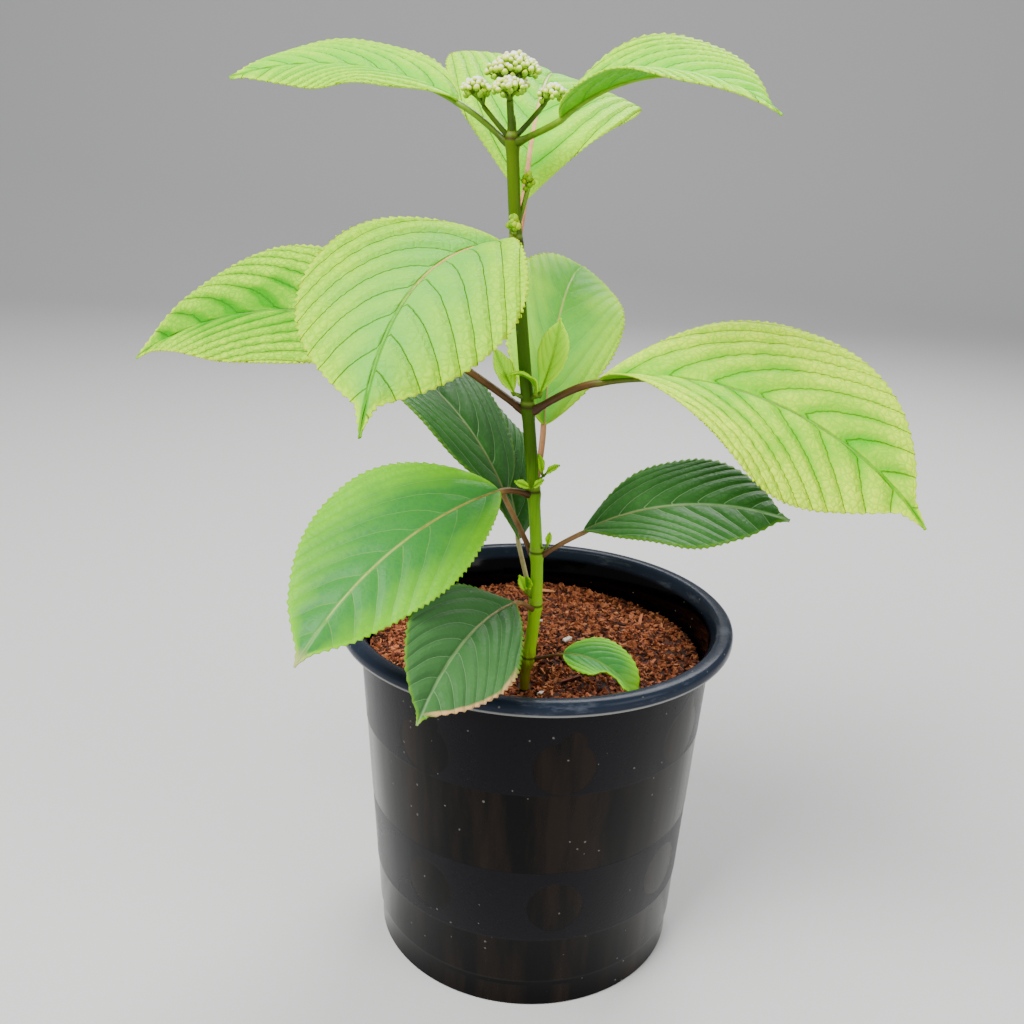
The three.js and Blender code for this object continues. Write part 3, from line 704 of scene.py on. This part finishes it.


# What all blades share. Their colour is deep along the veins and bright outwards and between them,
# with a net of small veins, a rim, and on some leaves a dried margin and a tip of another colour.
# The darkening towards the sunk side veins is partly their own colour and partly painted shade.
leaf_colours = ("deep", "bright", "mesh", "rim", "dried", "tip", "vein")
leaf_amounts = (
    "outward", "between", "bias", "net", "net_rise", "dried_side", "tip_start", "veins", "vein_width")
vein_tint_and_shade_reach = 0.32
rim_width, dried_width = 0.0022, 0.0036
leaf_results = {"colour": "Color", "patches": "Float", "height": "Float"}
leaf_pattern, paint, given, result = new_group("leaf_pattern", leaf_colours, leaf_amounts, leaf_results)
where = paint.place()
phase, to_edge = paint.split(paint.attribute("leaf_vein"))[:2]
across, share, distance = paint.split(paint.attribute("leaf_place"))
outward = paint.calc("ABSOLUTE", across)
patches = paint.noise(where, 45.0, 4.0, 0.55)
wander = paint.calc("MULTIPLY_ADD", paint.less(paint.noise(where, 110.0), 0.5), 0.16, phase)
wander = paint.calc("ABSOLUTE", paint.less(wander, paint.calc("ROUND", wander)))
side_vein = paint.calc("SUBTRACT", 1.0, paint.calc("DIVIDE", wander, given["vein_width"]), clamp=True)
# Darker towards each side vein: partly the veins' own green, partly painted shade in the sunk grooves
between = paint.calc("DIVIDE", wander, vein_tint_and_shade_reach, clamp=True)
veins = paint.highest(side_vein, paint.past(distance, channel_width, -0.0007))
cells = paint.cells(paint.shaken(where, 170.0, 0.005), 290.0, "DISTANCE_TO_EDGE")["Distance"]
raised = paint.calc("MULTIPLY", cells, 2.4, clamp=True)
pillow = paint.calc("MULTIPLY_ADD", raised, 0.35, paint.times(between, 1.3))
patchy = paint.times(paint.less(patches, 0.5), 1.5)
brightness = paint.total(
    paint.times(paint.calc("POWER", outward, 1.6), given["outward"]),
    paint.times(between, given["between"]), patchy)
brightness = paint.calc("ADD", brightness, given["bias"], clamp=True)
netted = paint.calc("MULTIPLY_ADD", outward, given["net_rise"], given["net"])
netted = paint.calc("MULTIPLY", paint.past(cells, 0.20, -0.20), netted, clamp=True)
margin = paint.past(paint.calc("MULTIPLY_ADD", patchy, 0.004, to_edge), dried_width, -0.0014)
side = paint.calc("GREATER_THAN", paint.times(across, given["dried_side"]), 0.0)
late = paint.times(paint.past(share, 0.44, 0.12), paint.past(share, 0.95, -0.04))
at_tip = paint.past(share, given["tip_start"], paint.less(1.01, given["tip_start"]))
colour = paint.layered(
    given["deep"], (given["bright"], brightness), (given["mesh"], netted),
    (given["rim"], paint.past(to_edge, rim_width, -rim_width)),
    (given["dried"], paint.times(margin, side, late)), (given["tip"], at_tip),
    (given["vein"], paint.times(veins, given["veins"])))
paint.feed(result["colour"], colour)
paint.feed(result["patches"], patches)
paint.feed(result["height"], paint.less(pillow, paint.times(veins, 0.7)))

usual_look = dict(
    outward=1.0, net_rise=0.0, dried_side=0, dried=(0.0, 0.0, 0.0), tip_start=1, tip=(0.0, 0.0, 0.0),
    sheen=0.02, emboss=1.0)


def leaf_surface(name, look, underside=False):
    """One side of a blade in a look's colours. The underside is rougher and its veins are broad."""
    material, paint = new_material(name)
    look = {**usual_look, "vein_width": 0.055 if underside else 0.032, **look}
    given = {label: look[label] for label in leaf_colours + leaf_amounts}
    pattern = paint.group(leaf_pattern, given)
    rough = paint.calc("MULTIPLY_ADD", pattern["patches"], 0.25, 0.45 if underside else 0.30)
    relief = paint.bump(pattern["height"], look["emboss"], 0.0008, invert=underside)
    paint.finish(pattern["colour"], rough, 0.15 if underside else look["sheen"], relief)
    return material


looks = {
    "pale": dict(
        deep=(0.18, 0.72, 0.02), bright=(0.50, 0.97, 0.0), rim=(0.54, 0.94, 0.0), vein=(0.12, 0.50, 0.0),
        mesh=(0.20, 0.70, 0.01), between=0.6, bias=-0.25, net=0.45, net_rise=0.2, veins=0.7),
    "soft": dict(
        deep=(0.19, 0.60, 0.06), bright=(0.44, 0.84, 0.0), rim=(0.54, 0.88, 0.0), vein=(0.05, 0.29, 0.0),
        mesh=(0.19, 0.56, 0.0), outward=1.5, between=0.25, bias=-0.3, net=0.1, net_rise=0.6, veins=0.8),
    "lime": dict(
        deep=(0.08, 0.48, 0.0), bright=(0.68, 1.0, 0.0), rim=(0.64, 0.94, 0.0), vein=(0.05, 0.36, 0.0),
        mesh=(0.14, 0.58, 0.0), between=0.4, bias=0.05, net=0.5, veins=0.65),
    "vivid": dict(
        deep=(0.035, 0.32, 0.0), bright=(0.46, 0.84, 0.0), rim=(0.60, 0.90, 0.0), vein=(0.10, 0.40, 0.06),
        mesh=(0.06, 0.40, 0.0), between=0.6, bias=-0.2, net=0.55, veins=0.6),
    # The slightly bluish deep colour here is partly painted sheen on the leaf's centre
    "green": dict(
        deep=(0.045, 0.245, 0.042), bright=(0.17, 0.55, 0.0), rim=(0.24, 0.62, 0.0),
        vein=(0.26, 0.46, 0.10), mesh=(0.09, 0.38, 0.01), tip=(0.60, 0.36, 0.20), tip_start=0.93,
        outward=1.6, between=0.15, bias=-0.42, net=0.1, net_rise=0.3, veins=0.45, sheen=0.14, emboss=0.3),
    "calm": dict(
        deep=(0.15, 0.54, 0.06), bright=(0.48, 0.94, 0.02), rim=(0.60, 0.96, 0.0), vein=(0.38, 0.70, 0.14),
        mesh=(0.24, 0.66, 0.03), outward=1.2, between=0.12, bias=-0.15, net=0.3, net_rise=0.1, veins=0.6,
        sheen=0.03, emboss=0.4),
    "dark": dict(
        deep=(0.026, 0.105, 0.018), bright=(0.054, 0.185, 0.034), rim=(0.10, 0.26, 0.01),
        vein=(0.22, 0.38, 0.15), mesh=(0.026, 0.105, 0.018), outward=0.15, between=0.3, bias=0.15, net=0.5,
        veins=1.0, sheen=0.10, emboss=0.4),
    "young": dict(
        deep=(0.34, 0.82, 0.0), bright=(0.52, 1.0, 0.0), rim=(0.54, 1.0, 0.0), vein=(0.20, 0.54, 0.0),
        mesh=(0.42, 0.88, 0.0), outward=0.8, between=0.2, bias=-0.05, net=0.2, veins=0.5, emboss=0.3),
}
looks["small"] = {**looks["green"], "bias": -0.6, "tip_start": 0.62, "tip": (0.26, 0.58, 0.0)}
looks["dried"] = {
    **looks["dark"], "deep": (0.040, 0.128, 0.034), "bright": (0.070, 0.190, 0.054),
    "vein": (0.19, 0.34, 0.14), "mesh": (0.050, 0.150, 0.040), "dried": (0.60, 0.36, 0.15), "dried_side": 1,
    "tip": (0.36, 0.60, 0.0), "tip_start": 0.955, "veins": 0.7, "emboss": 0.45}
below_bright = dict(
    deep=(0.11, 0.46, 0.0), bright=(0.26, 0.68, 0.0), rim=(0.42, 0.74, 0.0), vein=(0.07, 0.30, 0.0),
    mesh=(0.10, 0.40, 0.0), outward=0.6, between=0.4, bias=-0.1, net=0.4, veins=0.7, emboss=0.5)
below_dark = dict(
    deep=(0.07, 0.19, 0.04), bright=(0.10, 0.24, 0.06), rim=(0.14, 0.28, 0.05), vein=(0.18, 0.34, 0.10),
    mesh=(0.13, 0.28, 0.07), outward=0.6, between=0.4, bias=-0.2, net=0.4, veins=0.8, emboss=0.6)
uppers = {name: leaf_surface("leaf_" + name + "_above", look) for name, look in looks.items()}
bright_underside = leaf_surface("leaf_bright_below", below_bright, True)
dark_underside = leaf_surface("leaf_dark_below", below_dark, True)
bright_looks = ("pale", "soft", "lime", "vivid", "young")


# What all stalks and midribs share: colours that change along them, under fine darker streaks
stalk_colours = ("foot", "end", "rib_start", "rib_end")
stalk_results = {"colour": "Color", "streak": "Float"}
stalk_pattern, paint, given, result = new_group("stalk_pattern", stalk_colours, (), stalk_results)
along = paint.split(paint.attribute("leaf_place"))[1]
streak = paint.noise(paint.place(), 240.0, 4.0)
colour = paint.layered(
    given["foot"], (given["end"], paint.past(along, 0.0, 0.84)),
    (given["rib_start"], paint.past(along, 0.84, 0.36)),
    (given["rib_end"], paint.past(along, 1.2, 0.4)))
shade = paint.times(paint.past(streak, 0.45, 0.3), 0.8)
paint.feed(result["colour"], paint.mix(colour, (0.60, 0.48, 0.42), shade, "MULTIPLY"))
paint.feed(result["streak"], streak)

# Stalks: the colours at the foot, at the end, where the midrib starts and further along it
skins = {}
for name, *colours in (
    ("olive", (0.055, 0.105, 0.0), (0.15, 0.30, 0.0), (0.22, 0.42, 0.0), (0.36, 0.60, 0.02)),
    ("deep", (0.040, 0.085, 0.0), (0.070, 0.140, 0.0), (0.10, 0.20, 0.0), (0.12, 0.26, 0.0)),
    ("orange", (0.40, 0.42, 0.06), (0.64, 0.30, 0.06), (0.74, 0.29, 0.06), (0.14, 0.46, 0.02)),
    ("rosy", (0.40, 0.13, 0.06), (0.80, 0.34, 0.18), (0.80, 0.38, 0.19), (0.55, 0.55, 0.10)),
    ("brown", (0.070, 0.026, 0.008), (0.16, 0.072, 0.013), (0.14, 0.24, 0.010), (0.18, 0.42, 0.03)),
    ("tawny", (0.060, 0.022, 0.008), (0.20, 0.085, 0.022), (0.40, 0.30, 0.06), (0.36, 0.46, 0.10)),
    ("tan", (0.15, 0.060, 0.022), (0.36, 0.19, 0.07), (0.30, 0.20, 0.07), (0.15, 0.25, 0.07)),
    ("cream", (0.34, 0.32, 0.10), (0.58, 0.46, 0.22), (0.30, 0.32, 0.12), (0.20, 0.30, 0.10)),
):
    skins[name], paint = new_material("stalk_" + name)
    pattern = paint.group(stalk_pattern, dict(zip(stalk_colours, colours)))
    paint.finish(pattern["colour"], 0.42, 0.3, paint.bump(pattern["streak"], 0.3, 0.0003))

usual = dict(
    skin=3.3, sweep=0, roll=0, twist=0, opening=0, curl=0.15, belly=0.5, skew=0, blunt=0.75, drip=0.08,
    veins=8, rib_taper=0.55, rib_sink=0.72, quilt=1.3, wave=0.8, waves=5, tooth=1.4)
leaves = {
    "leaf_tier7_left": dict(
        tier=7, heading=165, stalk=28.7, stalk_radius=1.6, stalk_rise=39.3, rise=26, droop=45.5, sweep=37.5,
        roll=-15.7, twist=-6.5, fold=23.6, opening=-20, curl=0.19, length=107.5, width=71, blunt=0.8,
        look="pale", skin_look="olive"),
    "leaf_tier7_right": dict(
        tier=7, heading=-29.3, stalk=23.7, stalk_radius=1.7, stalk_rise=24.4, rise=37, droop=70.7, sweep=-3,
        roll=27.7, twist=-26.5, fold=39, opening=-38, curl=0.11, length=108, width=68.5, blunt=0.82,
        look="pale", skin_look="olive"),
    "leaf_tier6_front": dict(
        tier=6, heading=239, stalk=8, stalk_radius=1.9, stalk_rise=4, rise=3, droop=46, sweep=31, roll=-10,
        twist=4, fold=37, opening=-66, curl=0.08, length=166, width=91, belly=0.53, blunt=0.85, drip=0.14,
        quilt=1.0, rib_sink=0.5, look="soft", skin_look="orange"),
    "leaf_tier6_back": dict(
        tier=6, heading=85, stalk=27, stalk_radius=1.8, stalk_rise=36, rise=53, droop=60, roll=2, twist=20,
        fold=22, opening=-16, curl=0.2, length=168, width=107, belly=0.58, rib_taper=1, rib_sink=0.1,
        look="pale", skin_look="rosy"),
    "leaf_tier5_left": dict(
        tier=5, heading=164, stalk=58, stalk_radius=2.0, stalk_rise=31, rise=21, droop=56, sweep=10,
        roll=-27, fold=9, opening=18, curl=0.2, length=169, width=107, blunt=0.9, look="vivid",
        skin_look="brown"),
    "leaf_tier5_right": dict(
        tier=5, heading=-12, stalk=36, stalk_radius=2.1, stalk_rise=35, rise=13, droop=62, sweep=-16,
        roll=4, twist=38, fold=26, opening=-33, curl=0.05, length=172, width=113, belly=0.52, skew=-0.02,
        blunt=0.8, drip=0.11, look="lime", skin_look="brown"),
    "leaf_tier4_front": dict(
        tier=4, heading=217, stalk=18.5, stalk_radius=1.6, stalk_rise=22.5, rise=-7.5, droop=35, sweep=20,
        roll=-23, twist=-4.5, fold=12.5, opening=-31, curl=0.01, length=136, width=77, belly=0.45,
        skew=-0.16, blunt=0.8, quilt=0.6, look="green", skin_look="tawny"),
    "leaf_tier4_back": dict(
        tier=4, heading=81, stalk=36.5, stalk_radius=1.6, stalk_rise=46, rise=79, droop=84, sweep=-4,
        roll=26, fold=28, opening=-6, curl=0.27, length=128, width=72, skew=-0.04, quilt=0.35, look="calm",
        skin_look="rosy"),
    "leaf_tier3_left": dict(
        tier=3, heading=147.5, stalk=33.5, stalk_radius=1.5, stalk_rise=57, rise=60, droop=55, sweep=4,
        roll=8, twist=-4.5, fold=11.5, opening=4, curl=0.17, length=131, width=80, belly=0.47, blunt=0.7,
        quilt=0.5, look="dark", skin_look="tan"),
    "leaf_tier3_right": dict(
        tier=3, heading=-9, stalk=25, stalk_radius=1.4, stalk_rise=38, rise=33, droop=47, sweep=-4, roll=11,
        twist=22, fold=17, opening=-14, curl=0.1, length=104, width=68, quilt=0.45, look="dark",
        skin_look="tan"),
    "leaf_tier2_front": dict(
        tier=2, heading=240, stalk=19.5, stalk_radius=1.3, stalk_rise=37, rise=8, droop=42, sweep=12,
        roll=-25.5, twist=-22, fold=17.5, opening=7, curl=0.17, length=101, width=62, belly=0.56, quilt=0.6,
        look="dried", skin_look="tan"),
    "leaf_tier2_back": dict(
        tier=2, heading=117.5, stalk=35, stalk_radius=1.3, stalk_rise=56, rise=65.5, droop=38, roll=30,
        fold=18, opening=-9, curl=0.12, length=100, width=56, look="dark", skin_look="cream"),
    "leaf_tier1_right": dict(
        tier=1, heading=-16, stalk=17, stalk_radius=0.9, stalk_rise=25, rise=12, droop=74, sweep=-4,
        roll=18, twist=-10, fold=8, opening=30, length=48, width=32, belly=0.46, blunt=0.64, veins=7,
        tooth=0.7, quilt=0.25, wave=0.3, bite=(-1, 0.6, 0.14, 0.6), look="small", skin_look="brown"),
}


def on_stem(height, heading):
    """The frame of something that leaves the stem at a height towards a heading."""
    place = Vector(stem_middle(np.array([height]))[0])
    return Matrix.Translation(place) @ Matrix.Rotation(math.radians(heading), 4, "Z")


for number, (name, row) in enumerate(leaves.items()):
    leaf = {**usual, "teeth": round(row["length"] / tooth_spacing), "seed": 1.7 * number, **row}
    piece = make_leaf(name + "_blade", leaf, columns_across, rows_a_tooth * leaf["teeth"])
    piece.data.transform(on_stem(tier_height[leaf["tier"]], leaf["heading"]))
    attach(piece, "root")
    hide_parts(name)

# Shoots
# Soft young shoots in the leaf axils, each a short stub with one or two unfolding leaflets that
# are yellow-green and still smooth.
leaflet_columns, leaflet_rows = 14, 48
stub_start, stub_taper = 0.003, 0.7
usual_leaflet = dict(
    skin=0, stalk=2, stalk_rise=70, teeth=9, tooth=0.25, veins=6, quilt=0.3, wave=0.4, look="young",
    skin_look="olive")
shoots = {
    "shoot_tier5_right": dict(tier=5, heading=-35, lift=5, reach=6.5, climb=3, stub=1.5, leaflets=[
        dict(heading=35, rise=70, droop=-14, roll=65, fold=14, length=38, width=16, belly=0.6),
        dict(heading=235, rise=84, droop=105, fold=22, length=21, width=8)]),
    "shoot_tier5_left": dict(tier=5, heading=205, lift=5, reach=6.5, climb=3, stub=1.3, leaflets=[
        dict(heading=-25, rise=62, droop=-4, roll=-45, fold=20, length=24, width=12)]),
    "shoot_tier4_right": dict(tier=4, heading=15, lift=3, reach=5, climb=6, stub=0.8, leaflets=[
        dict(heading=165, rise=82, droop=10, roll=-60, fold=14, length=10, width=4),
        dict(heading=-30, rise=45, droop=20, roll=40, fold=14, length=9, width=4)]),
    "shoot_tier4_front": dict(tier=4, heading=262, lift=3, reach=6.5, climb=1, stub=0.9, leaflets=[
        dict(heading=-80, rise=25, droop=10, roll=-40, fold=14, length=8, width=4.5),
        dict(heading=85, rise=45, droop=10, roll=40, fold=14, length=7, width=4)]),
    "shoot_tier3_right": dict(tier=3, heading=-40, lift=3, reach=6, climb=2, stub=0.7, leaflets=[
        dict(heading=40, rise=75, droop=-10, roll=60, fold=14, length=7, width=3.5)]),
    "shoot_tier2_left": dict(tier=2, heading=215, lift=3, reach=6, climb=6, stub=0.9, leaflets=[
        dict(heading=-35, rise=72, droop=10, roll=-60, fold=14, length=9, width=5),
        dict(heading=145, rise=85, droop=-20, roll=60, fold=14, length=8, width=5)]),
}


def make_limb(name, start, middle, end, start_radius, end_radius, sides=10, rings=8, skin="olive"):
    """A tapering round limb that leaves its start towards a middle place and bends to its end."""
    limb, around, rim, share = long_cylinder(sides, rings)
    limb.name = name
    start, middle, end = np.array(start), np.array(middle), np.array(end)
    t = share[:, None]
    line = start * (1 - t) ** 2 + middle * 2 * t * (1 - t) + end * t**2
    forward = (middle - start) * (1 - t) + (end - middle) * t
    forward /= np.linalg.norm(forward, axis=-1, keepdims=True)
    aside = np.cross(forward, [0.31, 0.95, 0.04])
    aside /= np.linalg.norm(aside, axis=-1, keepdims=True)
    radius = ((start_radius + (end_radius - start_radius) * share) * rim)[:, None]
    turn = around[:, None]
    placed = line + radius * (np.cos(turn) * aside + np.sin(turn) * np.cross(forward, aside))
    limb.data.vertices.foreach_set("co", placed.ravel())
    mark(limb.data, "leaf_place", around, share, rim)
    bpy.ops.object.shade_smooth_by_angle(angle=math.radians(60))
    limb.data.materials.append(skins[skin])
    return limb


for name, shoot in shoots.items():
    end = Vector((shoot["reach"], 0, shoot["climb"])) / 1000
    tip = stub_taper * shoot["stub"]
    outside = end.normalized() * stub_start
    parts = [make_limb(name, outside, (outside + end) / 2, end, shoot["stub"] / 1000, tip / 1000)]
    for number, row in enumerate(shoot["leaflets"]):
        leaf = {**usual, **usual_leaflet, "stalk_radius": tip, "seed": 1.3 * number, **row}
        leaflet = make_leaf(f"{name}_leaflet_{number}", leaf, leaflet_columns, leaflet_rows)
        place = Matrix.Translation((end.x, end.y, end.z - tip / 1000))
        leaflet.data.transform(place @ Matrix.Rotation(math.radians(row["heading"]), 4, "Z"))
        parts.append(leaflet)
    piece = join_all(parts, name + "_young")
    piece.data.transform(on_stem(tier_height[shoot["tier"]] + shoot["lift"] / 1000, shoot["heading"]))
    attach(piece, "root")
    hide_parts(name)

# Flower head and packed buds
# The stem ends in bent forks that branch again under domed clusters of round buds, cream above
# and yellow-green below, each on its own thin ray. Cream where they face up is partly their tips'
# own colour and partly painted light; a darker lower layer is painted shade. Two more clusters are
# still packed in axils.
golden = math.radians(137.5)
bud_point, bud_lobes, bud_height = 0.2, 0.05, 1.1
bud_sizes, bud_shift, bud_upward = (0.78, 1.12), 0.0006, 0.004
branch_spread, branch_climb, branch_turn = 0.55, 0.6, 0.4
branch_foot_width, branch_end_width = 2.4, 1.6
ray_sag = 0.0006
lower_layer_drop, lower_layer_shrink, lower_layer_painted_shade = 0.0021, 0.12, 0.9
head_bud_radius, head_ray_radius, packed_ray_radius = 1.32, 0.3, 0.4
base_line, base_radii = ((0, 0, -0.0004), (0, 0, 0.0015), (0, 0, 0.0035)), (0.0021, 0.0017)
fork_foot_aside, fork_foot_depth, side_fork_reach = 0.0016, 0.0055, 0.005
middle_fork_radius, side_fork_radius, fork_taper = 0.0018, 0.0013, 0.8
peg_radius, packed_lift = 0.0011, 1.7
head_clusters = [
    dict(fork=(-0.5, 0, 11.5), middle=(1.5, 2, 25.5), spread=12.2, dome=7.5, count=84),
    dict(fork=(-0.5, -3, 9.5), middle=(-0.6, -11, 16.4), spread=8.0, dome=4.8, count=42),
    dict(fork=(-0.5, 3, 10.5), middle=(0, 14, 18.5), spread=8.6, dome=4.8, count=42),
    dict(fork=(-12.5, -1, 8), middle=(-15.4, -2, 17), spread=6.6, dome=4.4, count=30),
    dict(fork=(15.5, -1, 8.5), middle=(19, -2, 13.4), spread=6.0, dome=4.0, count=26),
]
bud_rng = np.random.default_rng(5)

bud = new_shape(bpy.ops.mesh.primitive_uv_sphere_add, segments=12, ring_count=8, radius=1)
for vertex in bud.data.vertices:
    point = max(vertex.co.z, 0)
    lobes = 1 + bud_lobes * math.cos(4 * math.atan2(vertex.co.y, vertex.co.x))
    vertex.co.x *= (1 - bud_point * point**2) * lobes
    vertex.co.y *= (1 - bud_point * point**2) * lobes
    vertex.co.z *= bud_height
bud_pattern = as_pattern(bud)


def bud_cluster(name, clusters, bud_radius, ray_radius, limbs):
    """Buds on rays that leave each cluster's fork by a few branchlets, joined with the limbs given."""
    places, tones, rays = [], [], list(limbs)
    thick = ray_radius / 1000
    for cluster in clusters:
        fork, middle = np.array(cluster["fork"]) / 1000, np.array(cluster["middle"]) / 1000
        reach = branch_spread * cluster["spread"] / 1000
        branches = max(3, cluster["count"] // 6)
        branch_ends = []
        for branch in range(branches):
            angle = 2 * math.pi * branch / branches + branch_turn
            aside = np.array([math.cos(angle), math.sin(angle), 0]) * reach
            end = fork + (middle - fork) * branch_climb + aside
            knee = fork + (end - fork) * np.array([0.3, 0.3, 0.6])
            widths = (branch_foot_width * thick, branch_end_width * thick)
            rays.append(make_limb(name, fork, knee, end, *widths, 8, 4))
            branch_ends.append(end)
        # A second, smaller and lower layer of buds closes the gaps between those on top. Its darker tone
        # is painted shade under them
        count = cluster["count"]
        for number in range(count + count // 2):
            layer = number // count
            share = math.sqrt((number % count + 0.5) / (count - layer * (count // 2)))
            angle = number * golden
            spread = cluster["spread"] / 1000 * share * (1 - lower_layer_shrink * layer)
            rise = cluster["dome"] / 1000 * (0.5 - share * share) - lower_layer_drop * layer
            place = middle + np.array([spread * math.cos(angle), spread * math.sin(angle), rise])
            place = place + bud_rng.uniform(-bud_shift, bud_shift, 3)
            radius = bud_radius / 1000 * bud_rng.uniform(*bud_sizes)
            nearest = min(branch_ends, key=lambda end: np.linalg.norm(place - end))
            way = Vector(place - nearest)
            turn = (way + Vector((0, 0, bud_upward))).to_track_quat("Z", "Y").to_matrix().to_4x4()
            places.append(Matrix.Translation(place) @ turn @ Matrix.Diagonal((radius, radius, radius, 1)))
            tones.append(bud_rng.random() - lower_layer_painted_shade * layer)
            knee = (nearest + place) / 2 + np.array([0, 0, -ray_sag])
            rays.append(make_limb(name, nearest, knee, place, thick, thick / 1.3, 6, 2))
    heads = strewn(name + "_heads", bud_pattern, places, np.array(tones))
    smooth(heads)
    return heads, join_all(rays, name + "_rays")


bud_skin, paint = new_material("bud_skin")
where = paint.place()
tone = paint.attribute("tone", "Fac")
# Buds are lighter where they face up: partly their cream tips, partly painted light
tip_and_top_light = paint.split(paint.node("NewGeometry").outputs["Normal"])[2]
seams = paint.noise(where, 600.0, 2.0)
mixed = paint.total(
    paint.calc("MULTIPLY_ADD", tip_and_top_light, 0.42, 0.30), paint.times(tone, 0.22),
    paint.times(paint.less(seams, 0.5), 0.4))
colour = paint.ramp(
    mixed, (0.16, (0.24, 0.46, 0.0)), (0.38, (0.58, 0.80, 0.0)), (0.55, (0.95, 0.98, 0.12)),
    (0.70, (1.0, 1.0, 0.92)))
paint.finish(colour, 0.5, 0.3, paint.bump(seams, 0.3, 0.0002))

tight_skin, paint = new_material("tight_bud_skin")
where = paint.place()
tone = paint.attribute("tone", "Fac")
seams = paint.noise(where, 500.0, 2.0)
colour = paint.ramp(
    paint.total(paint.times(tone, 0.5), paint.times(seams, 0.5)),
    (0.2, (0.15, 0.34, 0.0)), (0.5, (0.34, 0.52, 0.0)), (0.8, (0.50, 0.62, 0.0)))
paint.finish(colour, 0.5, 0.1, paint.bump(seams, 0.4, 0.0003))

head_top = Vector(stem_middle(np.array([stem_z[-1]]))[0])
lean = Vector((stem_slopes[-1], 0, 1)).normalized()
head_frame = Matrix.Translation(head_top) @ Vector((0, 0, 1)).rotation_difference(lean).to_matrix().to_4x4()
limbs = [make_limb("head_base", *base_line, *base_radii, skin="deep")]
for cluster in head_clusters:
    fork = np.array(cluster["fork"]) / 1000
    to_side = abs(fork[0]) > side_fork_reach
    foot = np.array([fork_foot_aside * np.sign(fork[0]) * to_side, 0, -fork_foot_depth])
    knee = fork * np.array([0.62, 0.62, 0.2])
    thick = side_fork_radius if to_side else middle_fork_radius
    limbs.append(make_limb("head_fork", foot, knee, fork, thick, fork_taper * thick, 10, 10, "deep"))
heads, rays = bud_cluster("flower_head", head_clusters, head_bud_radius, head_ray_radius, limbs)
for piece in (heads, rays):
    piece.data.transform(head_frame)
clusters = [(heads, rays, "flower_head", "flower_buds", bud_skin)]

axil_buds = {
    "buds_tier6_front": dict(heading=262, lift=3, reach=6.5, climb=3, spread=2.6, count=12, bud=1.4),
    "buds_tier6_back": dict(heading=40, lift=4, reach=6.5, climb=21, spread=2.3, count=12, bud=1.2),
}
for name, buds in axil_buds.items():
    fork = (buds["reach"], 0, buds["climb"])
    middle = (buds["reach"], 0, buds["climb"] + buds["spread"] + packed_lift)
    end = Vector(fork) / 1000
    outside = end.normalized() * stub_start
    peg = make_limb(name, outside, (outside + end) / 2, end, peg_radius, peg_radius)
    spread = buds["spread"]
    packed = dict(fork=fork, middle=middle, spread=spread, dome=2 * spread, count=buds["count"])
    tight, short = bud_cluster(name, [packed], buds["bud"], packed_ray_radius, [peg])
    for piece in (tight, short):
        piece.data.transform(on_stem(tier_height[6] + buds["lift"] / 1000, buds["heading"]))
    clusters.append((tight, short, name, "shoot", tight_skin))
for buds, rays, node, slot, skin in clusters:
    buds.data.materials.append(skin)
    for piece in (buds, rays):
        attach(piece, "root")
    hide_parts(node)

# Floor, light and camera
# A plain pale sweep that curves up behind the plant, under large soft lights. The camera stands
# where the photograph was taken.
sweep_size, sweep_rise, sweep_bend = 7.0, 3.5, 1.2
sky_colour, sky_strength = (0.94, 0.97, 1.0, 1), 0.46
lamp_size = 1.0
lamp_aim = Vector((0, 0, 0.25))
camera_place = (0, -0.571, 0.452)
camera_swing, camera_dip, camera_tilt = 1.58, 18.94, 2.02
sensor_width, lens = 36, 38.67

floor = new_shape(bpy.ops.mesh.primitive_plane_add, size=sweep_size)
floor.name = "floor"
bpy.ops.object.mode_set(mode="EDIT")
bpy.ops.mesh.select_mode(type="EDGE")
bpy.ops.mesh.select_all(action="DESELECT")
bm = bmesh.from_edit_mesh(floor.data)
max(bm.edges, key=lambda edge: edge.verts[0].co.y + edge.verts[1].co.y).select = True
bmesh.update_edit_mesh(floor.data)
bpy.ops.mesh.extrude_region_move(TRANSFORM_OT_translate={"value": (0, 0, sweep_rise)})
bpy.ops.mesh.select_all(action="DESELECT")
bm = bmesh.from_edit_mesh(floor.data)
for edge in bm.edges:
    first, second = (vertex.co for vertex in edge.verts)
    edge.select = first.y > 0 and second.y > 0 and max(first.z, second.z) < 0.01
bmesh.update_edit_mesh(floor.data)
bpy.ops.mesh.bevel(offset=sweep_bend, segments=20)
bpy.ops.object.mode_set(mode="OBJECT")
bpy.ops.object.shade_smooth()
floor_paint, paint = new_material("floor_paint")
paint.finish((0.60, 0.60, 0.585), 0.9, 0.2)
floor.data.materials.append(floor_paint)

world = bpy.data.worlds.new("studio")
bpy.context.scene.world = world
world.use_nodes = True
sky = world.node_tree.nodes["Background"].inputs
sky["Color"].default_value = sky_colour
sky["Strength"].default_value = sky_strength
for name, place, power in (
    ("key", (-0.8, -0.9, 1.8), 68),
    ("fill", (1.4, -0.9, 1.0), 15),
    ("back", (0.4, 1.2, 1.5), 30),
):
    lamp_data = bpy.data.lights.new(name, "AREA")
    lamp_data.size = lamp_size
    lamp_data.energy = power
    lamp = in_scene(name, lamp_data)
    lamp.location = place
    lamp.rotation_euler = (lamp_aim - Vector(place)).to_track_quat("-Z", "Y").to_euler()

camera_data = bpy.data.cameras.new("camera")
camera_data.sensor_width = sensor_width
camera_data.lens = lens
camera = in_scene("camera", camera_data)
camera.location = camera_place
turn = Matrix.Identity(3)
for angle, axis in ((camera_swing, "Z"), (90 - camera_dip, "X"), (camera_tilt, "Z")):
    turn = turn @ Matrix.Rotation(math.radians(angle), 3, axis)
camera.rotation_euler = turn.to_euler()
bpy.context.scene.camera = camera
